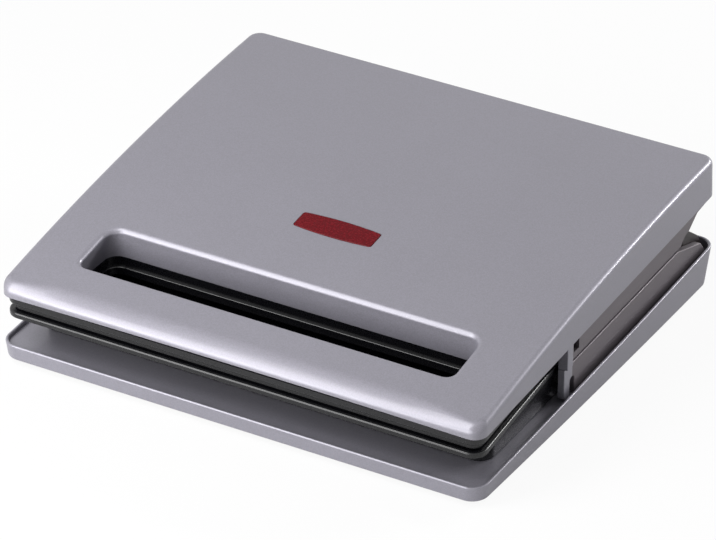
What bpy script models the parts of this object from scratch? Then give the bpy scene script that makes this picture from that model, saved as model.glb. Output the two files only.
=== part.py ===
"""Sandwich maker: a wedge-shaped lid hinged at the rear on a shallow tray.

Lengths are in metres. X runs to the right, Y to the rear and Z up. The origin is on the
surface that the four feet stand on, below the middle of the tray.
"""

import math

import bmesh
import bpy
from mathutils import Vector

# Tray: the silver casing of the lower half
TRAY_WIDTH = 0.2600
TRAY_DEPTH = 0.2363
TRAY_CORNER = 0.0085
TRAY_FRONT_HEIGHT = 0.0112
TRAY_REAR_HEIGHT = 0.0247
TRAY_BULGE = 0.0008
TRAY_DRAFT_SHARE = 0.10
TRAY_BOTTOM_ROUND = 0.0012
TRAY_STANDING_HEIGHT = 0.0030
ROUND_MIDDLE_SHARE = 0.3
RIM_THICKNESS = 0.0015
RIM_ROUND = 0.0006
DECK_SINK = 0.0016
PEDESTAL_SETBACK = 0.0004
CASING_WALL = 0.0022

# Lid: the silver casing of the upper half
LID_SIDE_SETBACK = 0.0004
LID_FRONT_SETBACK = 0.0006
LID_REAR_SETBACK = 0.0017
LID_CORNER = 0.0068
LID_EDGE_RAISE = 0.0083
LID_EDGE_CLIMB = 0.0161
LID_EDGE_ARCH = 0.0010
LID_FRONT_WALL_HEIGHT = 0.0067
LID_TOP_CLIMB = 0.0286
LID_CROWN = 0.0050
LID_DRAFT_SHARE = 0.022
LID_SIDE_ROUND = 0.0028
LID_FRONT_ROUND = 0.0050
LID_WALL = 0.0022

# Grip slot through the front of the lid
SLOT_SIDE_MARGIN = 0.0290
SLOT_SETBACK = 0.02615
SLOT_LENGTH = 0.0298
SLOT_CORNER = 0.0045
SLOT_REAR_CORNER = 0.0075
SLOT_OFFSET = -0.0010
SLOT_EDGE_ROUND = 0.0013
SLOT_DRAFT = 0.0009
SLOT_COLLAR_WALL = 0.0022
SLOT_COLLAR_HEIGHT = 0.0085

# Plane where the two halves meet; it rises a little towards the rear
PARTING_FRONT_HEIGHT = 0.0285
PARTING_SLOPE_SHARE = 0.03
PARTING_GAP = 0.0007

# Line along each side where the lid's skirt meets the side cover
SEAM_RAISE = 0.0029
SEAM_SLOPE_SHARE = 0.053

# Black frames round the plates
FRAME_FRONT_SETBACK = 0.0025
FRAME_SIDE_SETBACK = 0.0014
FRAME_CHEEK_GAP = 0.0028
FRAME_HINGE_LEAD = 0.0125
FRAME_CORNER = 0.0075
FRAME_NARROWING_SETBACK = 0.00565
FRAME_NARROWING_LAG = 0.0160
FRAME_SLAB = 0.0028
FRAME_EDGE_ROUND = 0.0010
FRAME_WALL = 0.0024
FRAME_LIP_DEPTH = 0.0200
LIP_ROUND_SHARE = 0.6
LOWER_FRAME_LIP = 0.0033
UPPER_BAND_RAISE = 0.0031
UPPER_BAND_UNDERCUT = 0.0026
UPPER_BAND_TUCK = 0.0010
UPPER_BAND_STEP = 0.0012
UPPER_RIB = 0.0014
FINGER_POCKET_SIDE_MARGIN = 0.0192
FINGER_POCKET_SETBACK = 0.01165
FINGER_POCKET_PLATE_GAP = 0.0034
FINGER_POCKET_DEPTH = 0.0052
FINGER_POCKET_CORNER = 0.0060
FINGER_FLOOR_SHARE = 0.7

# Plates
PLATE_SIDE_MARGIN = 0.0036
PLATE_SLOT_LAG = 0.0154
PLATE_REAR_MARGIN = 0.0068
PLATE_CORNER = 0.0060
PLATE_FACE_GAP = 0.0010
PLATE_RIM_STEP = 0.0016
PLATE_WALL = 0.0025
PLATE_FLANGE = 0.0015
POCKET_DEPTH = 0.0090
POCKET_MARGIN = 0.0050
POCKET_RIDGE = 0.0070
POCKET_ROUND = 0.0090
POCKET_SLOPE_SHARES = ((0.0, 0.0), (0.30, 0.45), (0.65, 0.80), (1.20, 1.0))

# Heaters and the sheet pans behind them
ELEMENT_RADIUS = 0.0032
ELEMENT_SIDE_MARGIN = 0.0342
ELEMENT_FRONT_MARGIN = 0.0242
ELEMENT_REAR_MARGIN = 0.0212
ELEMENT_BEND = 0.0120
ELEMENT_TAIL_SPACING = 0.0340
ELEMENT_TAIL_MARGIN = 0.0052
PAN_SHEET = 0.0006
PAN_CLEARANCE = 0.0005

# Side covers of the base
CHEEK_STEP = 0.0008
CHEEK_THICKNESS = 0.0034
CHEEK_TONGUE_WIDTH = 0.0054
CHEEK_SLIT_WIDTH = 0.0043
CHEEK_SLIT_DROP = 0.0089
SLIT_ROUND_SHARE = 0.45
CHEEK_SHOULDER_LEAD = 0.0195
CHEEK_REAR_LAG = 0.0095
CHEEK_BEND_LAG = 0.0055
CHEEK_BEND_RISE = 0.0002
CHEEK_REAR_DROP = 0.0050
CHEEK_ROUND = 0.0026

# Skirts of the lid, above the side covers
SKIRT_RECESS = 0.0032
SKIRT_THICKNESS = 0.0025
SKIRT_SETBACK = 0.08515
SKIRT_POST_WIDTH = 0.0056
SKIRT_POST_INSET = 0.0008
SKIRT_REAR_MARGIN = 0.00395
SKIRT_ROOT = 0.0024
SKIRT_NOTCH_LENGTH = 0.0055
SKIRT_NOTCH_HEIGHT = 0.0070
SKIRT_NOTCH_RAISE = 0.0040
SKIRT_CUT_LEAD = 0.0070
SKIRT_CUT_RISE = 0.0040
SKIRT_CUT_RADIUS = 0.0087
RELIEF_START_LEAD = 0.0069
RELIEF_START_RISE = 0.0127
RELIEF_BEND_LAG = 0.0018
RELIEF_BEND_RISE = 0.0187
RELIEF_END_RISE = 0.0207

# Hinge
HINGE_SETBACK = 0.01765
HINGE_DROP = 0.0005
HOUSING_LENGTH = 0.0200
HOUSING_BEVEL = 0.0008
HOUSING_FRONT_LEAD = 0.0073
HOUSING_TOP_RISE = 0.0092
HOUSING_CREST_LEAD = 0.0010
HOUSING_BEND_LAG = 0.0095
HOUSING_BEND_RISE = 0.0016
HOUSING_REAR_LAG = 0.0135
HOUSING_REAR_DROP = 0.0055
HOUSING_ROUND = 0.0042
KNUCKLE_RADIUS = 0.0065
KNUCKLE_LENGTH = 0.0140
KNUCKLE_WEB_FRONT = 0.0058
KNUCKLE_WEB_REAR = 0.0020
KNUCKLE_SIDE_GAP = 0.0006
PIN_RADIUS = 0.0028
PIN_LENGTH = 0.0300
PIN_END_CHAMFER = 0.0005
APRON_SIDE_MARGIN = 0.0096
APRON_THICKNESS = 0.0018
APRON_RAISE = 0.0002
APRON_CORNER = 0.0080

# Lens and lamps
LENS_OFFSET = -0.0024
LENS_HALF_WIDTH = 0.0211
LENS_LEAD = 0.02415
LENS_LENGTH = 0.0106
LENS_BOW = 0.0012
LENS_CORNER = 0.0010
LENS_FLANGE = 0.0015
LENS_FLANGE_THICKNESS = 0.0011
LENS_RAISE = 0.0003
LENS_STEPS = 8
LAMP_RADIUS = 0.0015
LAMP_LENGTH = 0.0110
LAMP_SPACING = 0.0200
LAMP_TIP_SHARE = 0.7
HOLDER_HALF_WIDTH = 0.0200
HOLDER_HALF_DEPTH = 0.0045
HOLDER_FLOOR = 0.0006

# Bottom cover, feet and screws
COVER_THICKNESS = 0.0022
FOOT_RADIUS = 0.0080
FOOT_STEM_RADIUS = 0.0030
FOOT_STEM_HEIGHT = 0.0038
FOOT_ROUND = 0.0008
FOOT_SIDE_MARGIN = 0.0260
FOOT_FRONT_MARGIN = 0.02115
FOOT_REAR_MARGIN = 0.02215
VENT_WIDTH = 0.0030
VENT_LENGTH = 0.0420
VENT_PITCH = 0.0085
VENT_COUNT = 6
VENT_X = 0.0550
VENT_Y = 0.0200
VENT_ROUND_SHARE = 0.49
SCREW_HEAD_RADIUS = 0.0031
SCREW_HEAD_HEIGHT = 0.0011
SCREW_SHANK_RADIUS = 0.0015
COVER_SCREW_LENGTH = 0.0052
LID_SCREW_LENGTH = 0.0080
BOSS_RADIUS = 0.0036
SCREW_POINT_SHARE = 0.6
SCREW_TAPER_SHARE = 0.85
SCREW_EDGE_SHARE = 0.4
SCREW_CROWN_SHARE = 0.7
COVER_SCREW_SIDE_MARGIN = 0.0092
COVER_SCREW_FRONT_MARGIN = 0.05415
COVER_SCREW_REAR_MARGIN = 0.04815
LID_SCREW_SIDE_MARGIN = 0.0166
LID_SCREW_FRONT_MARGIN = 0.03855
LID_SCREW_REAR_X = 0.0700
LID_SCREW_REAR_MARGIN = 0.01245

# Electrical parts of the base
THERMOSTAT_RADIUS = 0.0085
THERMOSTAT_HEIGHT = 0.0052
THERMOSTAT_RING = 0.0012
THERMOSTAT_X = 0.0204
THERMOSTAT_NECK_SHARE = 0.75
THERMOSTAT_CAP_SHARE = 0.8
FUSE_RADIUS = 0.0020
FUSE_LENGTH = 0.0110
FUSE_RIDGE_GAP = 0.0161
FUSE_POINT_SHARE = 0.4
FUSE_SHOULDER_SHARE = 0.7
TERMINAL_X = -0.0500
TERMINAL_HALF_WIDTH = 0.0130
TERMINAL_HALF_DEPTH = 0.0050
TERMINAL_HEIGHT = 0.0065
TERMINAL_BORE = 0.0015
TERMINAL_PITCH = 0.0080
GLAND_X = -0.0500
GLAND_HEIGHT = 0.0090
GLAND_RADIUS = 0.0038
GLAND_FLANGE_RADIUS = 0.0056
GLAND_FLANGE = 0.0010
GLAND_BORE = 0.0028
GLAND_DEPTH = 0.0040

# Fits and drawing resolution
GAP = 0.0003
SEAT = 0.0004
OVERRUN = 0.0040
MERGE = 0.00001
CORNER_STEPS = 5
SIDE_STEPS = 9
ROUND_STEPS = 28
FRONT_SHARES = (0.2, 0.6)

# Places worked out from the sizes above
TRAY_FRONT = -TRAY_DEPTH / 2
TRAY_REAR = TRAY_DEPTH / 2
LID_FRONT = TRAY_FRONT + LID_FRONT_SETBACK
LID_REAR = TRAY_REAR - LID_REAR_SETBACK
FRAME_FRONT = TRAY_FRONT + FRAME_FRONT_SETBACK
HINGE_Y = TRAY_REAR - HINGE_SETBACK
FRAME_REAR = HINGE_Y - FRAME_HINGE_LEAD
SLOT_FRONT = LID_FRONT + SLOT_SETBACK
SLOT_REAR = SLOT_FRONT + SLOT_LENGTH
PLATE_FRONT = SLOT_REAR + PLATE_SLOT_LAG
PLATE_REAR = FRAME_REAR - PLATE_REAR_MARGIN
FINGER_POCKET_FRONT = FRAME_FRONT + FINGER_POCKET_SETBACK
FINGER_POCKET_REAR = PLATE_FRONT - FINGER_POCKET_PLATE_GAP
ELEMENT_FRONT = PLATE_FRONT + ELEMENT_FRONT_MARGIN
ELEMENT_REAR = PLATE_REAR - ELEMENT_REAR_MARGIN
ELEMENT_TAIL_END = PLATE_REAR - ELEMENT_TAIL_MARGIN
SKIRT_FRONT = TRAY_FRONT + SKIRT_SETBACK
SKIRT_REAR = LID_REAR - SKIRT_REAR_MARGIN
SKIRT_CUT_Y = HINGE_Y - SKIRT_CUT_LEAD
FRAME_NARROWING_START = FRAME_FRONT + FRAME_NARROWING_SETBACK
FRAME_NARROWING_END = SKIRT_FRONT + FRAME_NARROWING_LAG
CHEEK_TONGUE_FRONT = SKIRT_FRONT
CHEEK_SHOULDER = HINGE_Y - CHEEK_SHOULDER_LEAD
CHEEK_BEND = HINGE_Y + CHEEK_BEND_LAG
CHEEK_REAR = HINGE_Y + CHEEK_REAR_LAG
HOUSING_FRONT = HINGE_Y - HOUSING_FRONT_LEAD
HOUSING_CREST = HINGE_Y - HOUSING_CREST_LEAD
HOUSING_BEND = HINGE_Y + HOUSING_BEND_LAG
HOUSING_REAR = HINGE_Y + HOUSING_REAR_LAG
LENS_FRONT = (LID_FRONT + LID_REAR) / 2 - LENS_LEAD
FOOT_FRONT_Y = TRAY_FRONT + FOOT_FRONT_MARGIN
FOOT_REAR_Y = TRAY_REAR - FOOT_REAR_MARGIN
COVER_SCREW_FRONT_Y = TRAY_FRONT + COVER_SCREW_FRONT_MARGIN
COVER_SCREW_REAR_Y = TRAY_REAR - COVER_SCREW_REAR_MARGIN
LID_SCREW_FRONT_Y = LID_FRONT + LID_SCREW_FRONT_MARGIN
LID_SCREW_REAR_Y = LID_REAR - LID_SCREW_REAR_MARGIN

# Widths, from the tray inwards to the plates
LID_WIDTH = TRAY_WIDTH - 2 * LID_SIDE_SETBACK
SKIRT_FACE = LID_WIDTH / 2 - SKIRT_RECESS
CHEEK_FACE = SKIRT_FACE + CHEEK_STEP
HOUSING_OUTER_END = CHEEK_FACE - CHEEK_THICKNESS - SEAT
FRAME_FRONT_HALF_WIDTH = LID_WIDTH / 2 - FRAME_SIDE_SETBACK
FRAME_REAR_HALF_WIDTH = CHEEK_FACE - CHEEK_THICKNESS - FRAME_CHEEK_GAP
DECK_OPENING_HALF_WIDTH = FRAME_REAR_HALF_WIDTH - 2 * FRAME_WALL - PEDESTAL_SETBACK
PLATE_HALF_WIDTH = DECK_OPENING_HALF_WIDTH - PLATE_SIDE_MARGIN
ELEMENT_HALF_WIDTH = PLATE_HALF_WIDTH - ELEMENT_SIDE_MARGIN
FUSE_X = PLATE_HALF_WIDTH / 2 - FUSE_RIDGE_GAP
FINGER_POCKET_HALF_WIDTH = FRAME_FRONT_HALF_WIDTH - FINGER_POCKET_SIDE_MARGIN
SLOT_HALF_WIDTH = LID_WIDTH / 2 - SLOT_SIDE_MARGIN
APRON_HALF_WIDTH = LID_WIDTH / 2 - APRON_SIDE_MARGIN
FOOT_X = TRAY_WIDTH / 2 - FOOT_SIDE_MARGIN
COVER_SCREW_X = TRAY_WIDTH / 2 - COVER_SCREW_SIDE_MARGIN
LID_SCREW_FRONT_X = LID_WIDTH / 2 - LID_SCREW_SIDE_MARGIN

# Heights, from the plane where the halves meet
DECK_FRONT_HEIGHT = TRAY_FRONT_HEIGHT - DECK_SINK
LID_EDGE_FRONT_HEIGHT = PARTING_FRONT_HEIGHT + LID_EDGE_RAISE
LID_EDGE_REAR_HEIGHT = LID_EDGE_FRONT_HEIGHT + LID_EDGE_CLIMB
LID_TOP_FRONT_HEIGHT = LID_EDGE_FRONT_HEIGHT + LID_FRONT_WALL_HEIGHT
LID_TOP_REAR_HEIGHT = LID_TOP_FRONT_HEIGHT + LID_TOP_CLIMB
SEAM_MIDDLE_HEIGHT = PARTING_FRONT_HEIGHT + SEAM_RAISE
HINGE_HEIGHT = PARTING_FRONT_HEIGHT - HINGE_DROP
HOUSING_TOP_HEIGHT = HINGE_HEIGHT + HOUSING_TOP_RISE
HOUSING_BEND_HEIGHT = HINGE_HEIGHT + HOUSING_BEND_RISE
HOUSING_REAR_HEIGHT = HINGE_HEIGHT - HOUSING_REAR_DROP
CHEEK_SLIT_HEIGHT = SEAM_MIDDLE_HEIGHT - CHEEK_SLIT_DROP
CHEEK_BEND_HEIGHT = HINGE_HEIGHT + CHEEK_BEND_RISE
CHEEK_REAR_HEIGHT = HINGE_HEIGHT - CHEEK_REAR_DROP
SKIRT_CUT_HEIGHT = HINGE_HEIGHT + SKIRT_CUT_RISE

# Stack of plate, heater and pan, measured from the parting plane
POCKET_FLOOR = PLATE_FACE_GAP / 2 + POCKET_DEPTH
PLATE_BACK = POCKET_FLOOR + PLATE_WALL
ELEMENT_CENTRE = PLATE_BACK + GAP + ELEMENT_RADIUS
PAN_FLOOR = ELEMENT_CENTRE + ELEMENT_RADIUS + PAN_CLEARANCE
PLATE_SEAT = PARTING_GAP / 2 + FRAME_SLAB + GAP
FRAME_OPENING = PLATE_HALF_WIDTH + SEAT
BOSS_BORE = SCREW_SHANK_RADIUS + GAP
HEAD_RECESS = SCREW_HEAD_RADIUS + GAP


def share_along(start, end, place):
    """How far a place lies from start to end, held between 0 and 1."""
    return min(1.0, max(0.0, (place - start) / (end - start)))


def rim(x, y):
    """Height of the tray's rim."""
    return TRAY_FRONT_HEIGHT + (TRAY_REAR_HEIGHT - TRAY_FRONT_HEIGHT) * (y - TRAY_FRONT) / TRAY_DEPTH


def deck(x, y):
    """Height of the tray's sunk deck, which runs along the parting plane."""
    return DECK_FRONT_HEIGHT + PARTING_SLOPE_SHARE * (y - TRAY_FRONT)


def parting(x, y):
    """Height of the plane where the two halves meet."""
    return PARTING_FRONT_HEIGHT + PARTING_SLOPE_SHARE * (y - FRAME_FRONT)


def seam(x, y):
    """Height of the line where the lid's skirts meet the side covers."""
    return SEAM_MIDDLE_HEIGHT + SEAM_SLOPE_SHARE * y


def lid_edge(x, y):
    """Height of the lid's lower edge, arched along the front."""
    along = (y - LID_FRONT) / (LID_REAR - LID_FRONT)
    edge = LID_EDGE_FRONT_HEIGHT + (LID_EDGE_REAR_HEIGHT - LID_EDGE_FRONT_HEIGHT) * along
    near_front = 1.0 - share_along(LID_FRONT, LID_FRONT + LID_CORNER, y)
    return edge + LID_EDGE_ARCH * near_front * (1.0 - (2.0 * x / LID_WIDTH) ** 2)


def crown(x, y):
    """Height of the lid's top, a chord from front to rear with a bow above it."""
    along = (y - LID_FRONT) / (LID_REAR - LID_FRONT)
    chord = LID_TOP_FRONT_HEIGHT + (LID_TOP_REAR_HEIGHT - LID_TOP_FRONT_HEIGHT) * along
    return chord + 4.0 * LID_CROWN * along * (1.0 - along)


def above(surface, offset):
    """A height function that runs at an offset above a surface."""
    return lambda x, y: surface(x, y) + offset


def level(height):
    """A height function that is the same everywhere."""
    return lambda x, y: height


def outline(half_width, front, rear, corner, rear_corner=None, swell=None, front_shares=(),
            side_steps=SIDE_STEPS):
    """Plan of a rounded rectangle: its right side from front to rear, then the left side back."""
    back = corner if rear_corner is None else rear_corner
    right = [((half_width - corner) * share, front) for share in front_shares]
    for step in range(CORNER_STEPS + 1):
        angle = math.pi / 2 * step / CORNER_STEPS
        x = half_width - corner + corner * math.sin(angle)
        right.append((x, front + corner - corner * math.cos(angle)))
    for step in range(1, side_steps):
        right.append((half_width, front + corner + (rear - front - corner - back) * step / side_steps))
    for step in range(CORNER_STEPS + 1):
        angle = math.pi / 2 * step / CORNER_STEPS
        right.append((half_width - back + back * math.cos(angle), rear - back + back * math.sin(angle)))
    if swell:
        right = [(x + swell(y) * x / half_width, y) for x, y in right]
    return right + [(-x, y) for x, y in reversed(right)]


def ring(height, *sizes, **options):
    """A rounded rectangle in plan, lifted to a height that may change from place to place."""
    return [Vector((x, y, height(x, y))) for x, y in outline(*sizes, **options)]


def rounded_corner(before, corner, after, radius, steps=4):
    """Points along the arc that rounds one corner between its two neighbours."""
    back = (before - corner).normalized()
    ahead = (after - corner).normalized()
    half_angle = back.angle(ahead) / 2
    centre = corner + (back + ahead).normalized() * radius / math.sin(half_angle)
    start = corner + back * radius / math.tan(half_angle) - centre
    end = corner + ahead * radius / math.tan(half_angle) - centre
    return [centre + start.slerp(end, step / steps) * radius for step in range(steps + 1)]


def rounded_polygon(corners, radii, steps=4):
    """Outline of a polygon whose corners are rounded, each by its own radius."""
    points = []
    for index, corner in enumerate(corners):
        after = corners[(index + 1) % len(corners)]
        points += rounded_corner(corners[index - 1], corner, after, radii[index], steps)
    return points


def new_collection(name):
    """Adds a collection to the scene."""
    collection = bpy.data.collections.new(name)
    bpy.context.scene.collection.children.link(collection)
    return collection


def material(name, colour, roughness, metallic=0.0):
    """A plain surface with one colour."""
    surface = bpy.data.materials.new(name)
    surface.use_nodes = True
    shader = surface.node_tree.nodes["Principled BSDF"]
    shader.inputs["Base Color"].default_value = (*colour, 1.0)
    shader.inputs["Roughness"].default_value = roughness
    shader.inputs["Metallic"].default_value = metallic
    surface.diffuse_color = (*colour, 1.0)
    return surface


def silver(name):
    """Satin metallic paint on the housings."""
    return material(name, (0.33, 0.32, 0.36), 0.35, 0.8)


def black(name):
    """Black moulded plastic."""
    return material(name, (0.010, 0.010, 0.012), 0.3)


def steel(name):
    """Bare sheet or rod."""
    return material(name, (0.45, 0.45, 0.45), 0.35, 1.0)


def add_object(mesh, name, surface=None, place=(0.0, 0.0, 0.0), turn=(0.0, 0.0, 0.0)):
    """Links a mesh as one named piece, or as a cutter when it has no surface."""
    piece = bpy.data.objects.new(name, mesh)
    piece.location = place
    piece.rotation_euler = turn
    if surface is None:
        CUTTERS.objects.link(piece)
        piece.hide_render = True
        piece.display_type = "WIRE"
    else:
        PARTS.objects.link(piece)
        mesh.materials.append(surface)
    return piece


def finish_mesh(name, shape):
    """Turns a bmesh into a mesh whose faces point outwards, smooth except at sharp edges."""
    bmesh.ops.recalc_face_normals(shape, faces=shape.faces)
    mesh = bpy.data.meshes.new(name)
    shape.to_mesh(mesh)
    shape.free()
    mesh.shade_smooth()
    mesh.set_sharp_from_angle(angle=math.radians(35))
    return mesh


def add_loft(shape, rings, looped=False, paired=True, front_count=0):
    """Skins a run of rings; a looped run closes on itself, another is capped at both ends."""
    loops = [[shape.verts.new(point) for point in points] for points in rings]
    count = len(loops[0])
    spans = list(zip(loops, loops[1:]))
    if looped:
        spans.append((loops[-1], loops[0]))
    for lower, upper in spans:
        for index in range(count):
            after = (index + 1) % count
            shape.faces.new((lower[index], lower[after], upper[after], upper[index]))
    if looped:
        return
    for loop in (loops[0], loops[-1]):
        if not paired:
            shape.faces.new(loop)
            continue
        first = front_count + 1
        shape.faces.new(loop[-first - 1:] + loop[:first + 1])
        for index in range(first, count // 2 - 1):
            shape.faces.new((loop[index], loop[index + 1], loop[-index - 2], loop[-index - 1]))


def loft(name, surface, rings, **options):
    """One piece skinned over a run of rings."""
    shape = bmesh.new()
    add_loft(shape, rings, **options)
    return add_object(finish_mesh(name, shape), name, surface)


def slab(name, surface, points, thickness, direction):
    """A flat outline given a thickness along one direction."""
    shape = bmesh.new()
    face = shape.faces.new([shape.verts.new(point) for point in points])
    extruded = bmesh.ops.extrude_face_region(shape, geom=[face])
    moved = [item for item in extruded["geom"] if isinstance(item, bmesh.types.BMVert)]
    bmesh.ops.translate(shape, verts=moved, vec=Vector(direction) * thickness)
    return add_object(finish_mesh(name, shape), name, surface)


def block(name, surface, low, high):
    """A rectangular block between two corners."""
    shape = bmesh.new()
    bmesh.ops.create_cube(shape, size=1.0)
    size = Vector(high) - Vector(low)
    bmesh.ops.scale(shape, vec=size, verts=shape.verts)
    piece = add_object(finish_mesh(name, shape), name, surface, place=(Vector(low) + Vector(high)) / 2)
    return piece


def rod(name, surface, radius, length, centre, turn=(0.0, 0.0, 0.0), segments=ROUND_STEPS):
    """A round rod about its own centre."""
    shape = bmesh.new()
    bmesh.ops.create_cone(shape, cap_ends=True, segments=segments, radius1=radius, radius2=radius,
                          depth=length)
    return add_object(finish_mesh(name, shape), name, surface, place=centre, turn=turn)


def turned(name, surface, profile, centre, turn=(0.0, 0.0, 0.0), segments=ROUND_STEPS):
    """A turned piece; the profile runs from its top to its bottom as radius and height."""
    mesh = bpy.data.meshes.new(name)
    points = [(radius, 0.0, height) for radius, height in profile]
    mesh.from_pydata(points, [(index, index + 1) for index in range(len(points) - 1)], [])
    piece = add_object(mesh, name, surface, place=centre, turn=turn)
    screw = piece.modifiers.new("turning", "SCREW")
    screw.axis = "Z"
    screw.angle = math.tau
    screw.steps = segments
    screw.render_steps = segments
    screw.use_merge_vertices = True
    screw.merge_threshold = MERGE
    return piece


def combine(piece, tool, operation):
    """Joins a tool to a piece, or cuts it away."""
    step = piece.modifiers.new(tool.name, "BOOLEAN")
    step.operation = operation
    step.object = tool
    step.solver = "EXACT"


def cut(piece, *tools):
    """Cuts each tool out of a piece."""
    for tool in tools:
        combine(piece, tool, "DIFFERENCE")


def join(piece, *tools):
    """Makes each tool part of a piece."""
    for tool in tools:
        combine(piece, tool, "UNION")


def ease_edges(piece, width, segments=2):
    """Rounds the sharp edges of a simple piece."""
    bevel = piece.modifiers.new("eased edges", "BEVEL")
    bevel.width = width
    bevel.segments = segments
    bevel.limit_method = "ANGLE"
    bevel.angle_limit = math.radians(40)
    return piece


def bent_path(corners, radius, height):
    """An open path with its inner corners rounded, lifted to a height function."""
    points = [corners[0]]
    for before, corner, after in zip(corners, corners[1:], corners[2:]):
        points += rounded_corner(before, corner, after, radius)
    points.append(corners[-1])
    return [Vector((point.x, point.y, height(point.x, point.y))) for point in points]


def tube(name, surface, path, radius):
    """A bent rod along a path of points, with closed ends."""
    curve = bpy.data.curves.new(name, "CURVE")
    curve.dimensions = "3D"
    curve.bevel_depth = radius
    curve.bevel_resolution = 2
    curve.use_fill_caps = True
    spline = curve.splines.new("POLY")
    spline.points.add(len(path) - 1)
    for point, place in zip(spline.points, path):
        point.co = (*place, 1.0)
    piece = bpy.data.objects.new(name, curve)
    PARTS.objects.link(piece)
    curve.materials.append(surface)
    return piece


def tray_ring(inset, height):
    """A ring of the tray at an inset from its outer wall, which leans in towards the bottom."""
    def lean(y):
        return TRAY_DRAFT_SHARE * (rim(0.0, y) - height(0.0, y))

    def swell(y):
        across = 2.0 * share_along(TRAY_FRONT, TRAY_REAR, y) - 1.0
        return TRAY_BULGE * (1.0 - across ** 2) - lean(y)

    return ring(height, TRAY_WIDTH / 2 - inset, TRAY_FRONT + inset + lean(TRAY_FRONT),
                TRAY_REAR - inset - lean(TRAY_REAR), TRAY_CORNER - min(inset, TRAY_CORNER / 2), swell=swell)


def base_casing():
    """Silver tray: raised rim, sunk deck with an opening for the frame, open below."""
    foot = TRAY_STANDING_HEIGHT
    bottom_middle = TRAY_BOTTOM_ROUND * ROUND_MIDDLE_SHARE
    opening = (DECK_OPENING_HALF_WIDTH, FRAME_FRONT + FRAME_LIP_DEPTH + 2 * FRAME_WALL,
               FRAME_REAR - 2 * FRAME_WALL, PLATE_CORNER)
    rings = [
        ring(deck, *opening),
        tray_ring(RIM_THICKNESS + RIM_ROUND, deck),
        tray_ring(RIM_THICKNESS, above(deck, RIM_ROUND)),
        tray_ring(RIM_THICKNESS, above(rim, -RIM_ROUND)),
        tray_ring(RIM_THICKNESS - RIM_ROUND / 2, rim),
        tray_ring(RIM_ROUND / 2, rim),
        tray_ring(0.0, above(rim, -RIM_ROUND)),
        tray_ring(0.0, level(foot + TRAY_BOTTOM_ROUND)),
        tray_ring(bottom_middle, level(foot + bottom_middle)),
        tray_ring(TRAY_BOTTOM_ROUND, level(foot)),
        tray_ring(CASING_WALL, level(foot)),
        tray_ring(CASING_WALL, above(deck, -CASING_WALL)),
        ring(above(deck, -CASING_WALL), *opening),
    ]
    casing = loft("base_casing", silver("tray_paint"), rings, looped=True)
    for x, y in COVER_SCREW_PLACES:
        low = foot + COVER_THICKNESS + GAP
        high = deck(x, y) - CASING_WALL / 2
        boss = rod("cover_boss", None, BOSS_RADIUS, high - low, (x, y, (low + high) / 2), segments=16)
        join(casing, boss)
    for x, y in COVER_SCREW_PLACES:
        low = foot
        high = foot + COVER_THICKNESS + COVER_SCREW_LENGTH - SCREW_HEAD_HEIGHT
        centre = (x, y, (low + high) / 2)
        cut(casing, rod("cover_screw_bore", None, BOSS_BORE, high - low, centre, segments=12))
    place, turn = gland_seat()
    reach = 2 * (CASING_WALL + 3 * GAP)
    cut(casing, rod("gland_hole", None, GLAND_RADIUS + GAP, reach, place, turn=turn, segments=24))
    return casing


def base_cover():
    """Black bottom cover with two banks of vents and holes for feet and screws."""
    foot = TRAY_STANDING_HEIGHT
    inset = CASING_WALL + SEAT
    rings = [tray_ring(inset, level(foot)),
             tray_ring(inset, level(foot + COVER_THICKNESS))]
    cover = loft("base_cover", black("cover_plastic"), rings)
    shape = bmesh.new()
    for side in (-1, 1):
        for row in range(VENT_COUNT):
            middle = VENT_Y + (row - (VENT_COUNT - 1) / 2) * VENT_PITCH
            corners = [Vector((side * VENT_X + dx * VENT_LENGTH / 2, middle + dy * VENT_WIDTH / 2, 0.0))
                       for dx, dy in ((-1, -1), (1, -1), (1, 1), (-1, 1))]
            plan = rounded_polygon(corners, [VENT_WIDTH * VENT_ROUND_SHARE] * 4, steps=2)
            add_loft(shape, [[point + Vector((0.0, 0.0, height)) for point in plan]
                             for height in (foot - OVERRUN, foot + COVER_THICKNESS + OVERRUN)], paired=False)
    cut(cover, add_object(finish_mesh("vents", shape), "vents"))
    for x, y in COVER_SCREW_PLACES:
        cut(cover, rod("shank_hole", None, BOSS_BORE, 4 * OVERRUN, (x, y, foot), segments=12))
        top = foot + SCREW_HEAD_HEIGHT + GAP
        cut(cover, rod("head_recess", None, HEAD_RECESS, OVERRUN, (x, y, top - OVERRUN / 2), segments=16))
    for x, y in FOOT_PLACES:
        cut(cover, rod("foot_hole", None, FOOT_STEM_RADIUS + GAP, 4 * OVERRUN, (x, y, foot), segments=16))
    return cover


def foot(name, x, y):
    """Rubber foot with a stem that plugs into the cover."""
    top = TRAY_STANDING_HEIGHT - GAP
    profile = [
        (0.0, top + FOOT_STEM_HEIGHT),
        (FOOT_STEM_RADIUS, top + FOOT_STEM_HEIGHT),
        (FOOT_STEM_RADIUS, top),
        (FOOT_RADIUS, top),
        (FOOT_RADIUS, FOOT_ROUND),
        (FOOT_RADIUS - FOOT_ROUND, 0.0),
        (0.0, 0.0),
    ]
    return turned(name, material("rubber", (0.02, 0.02, 0.02), 0.8), profile, (x, y, 0.0), segments=20)


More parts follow.
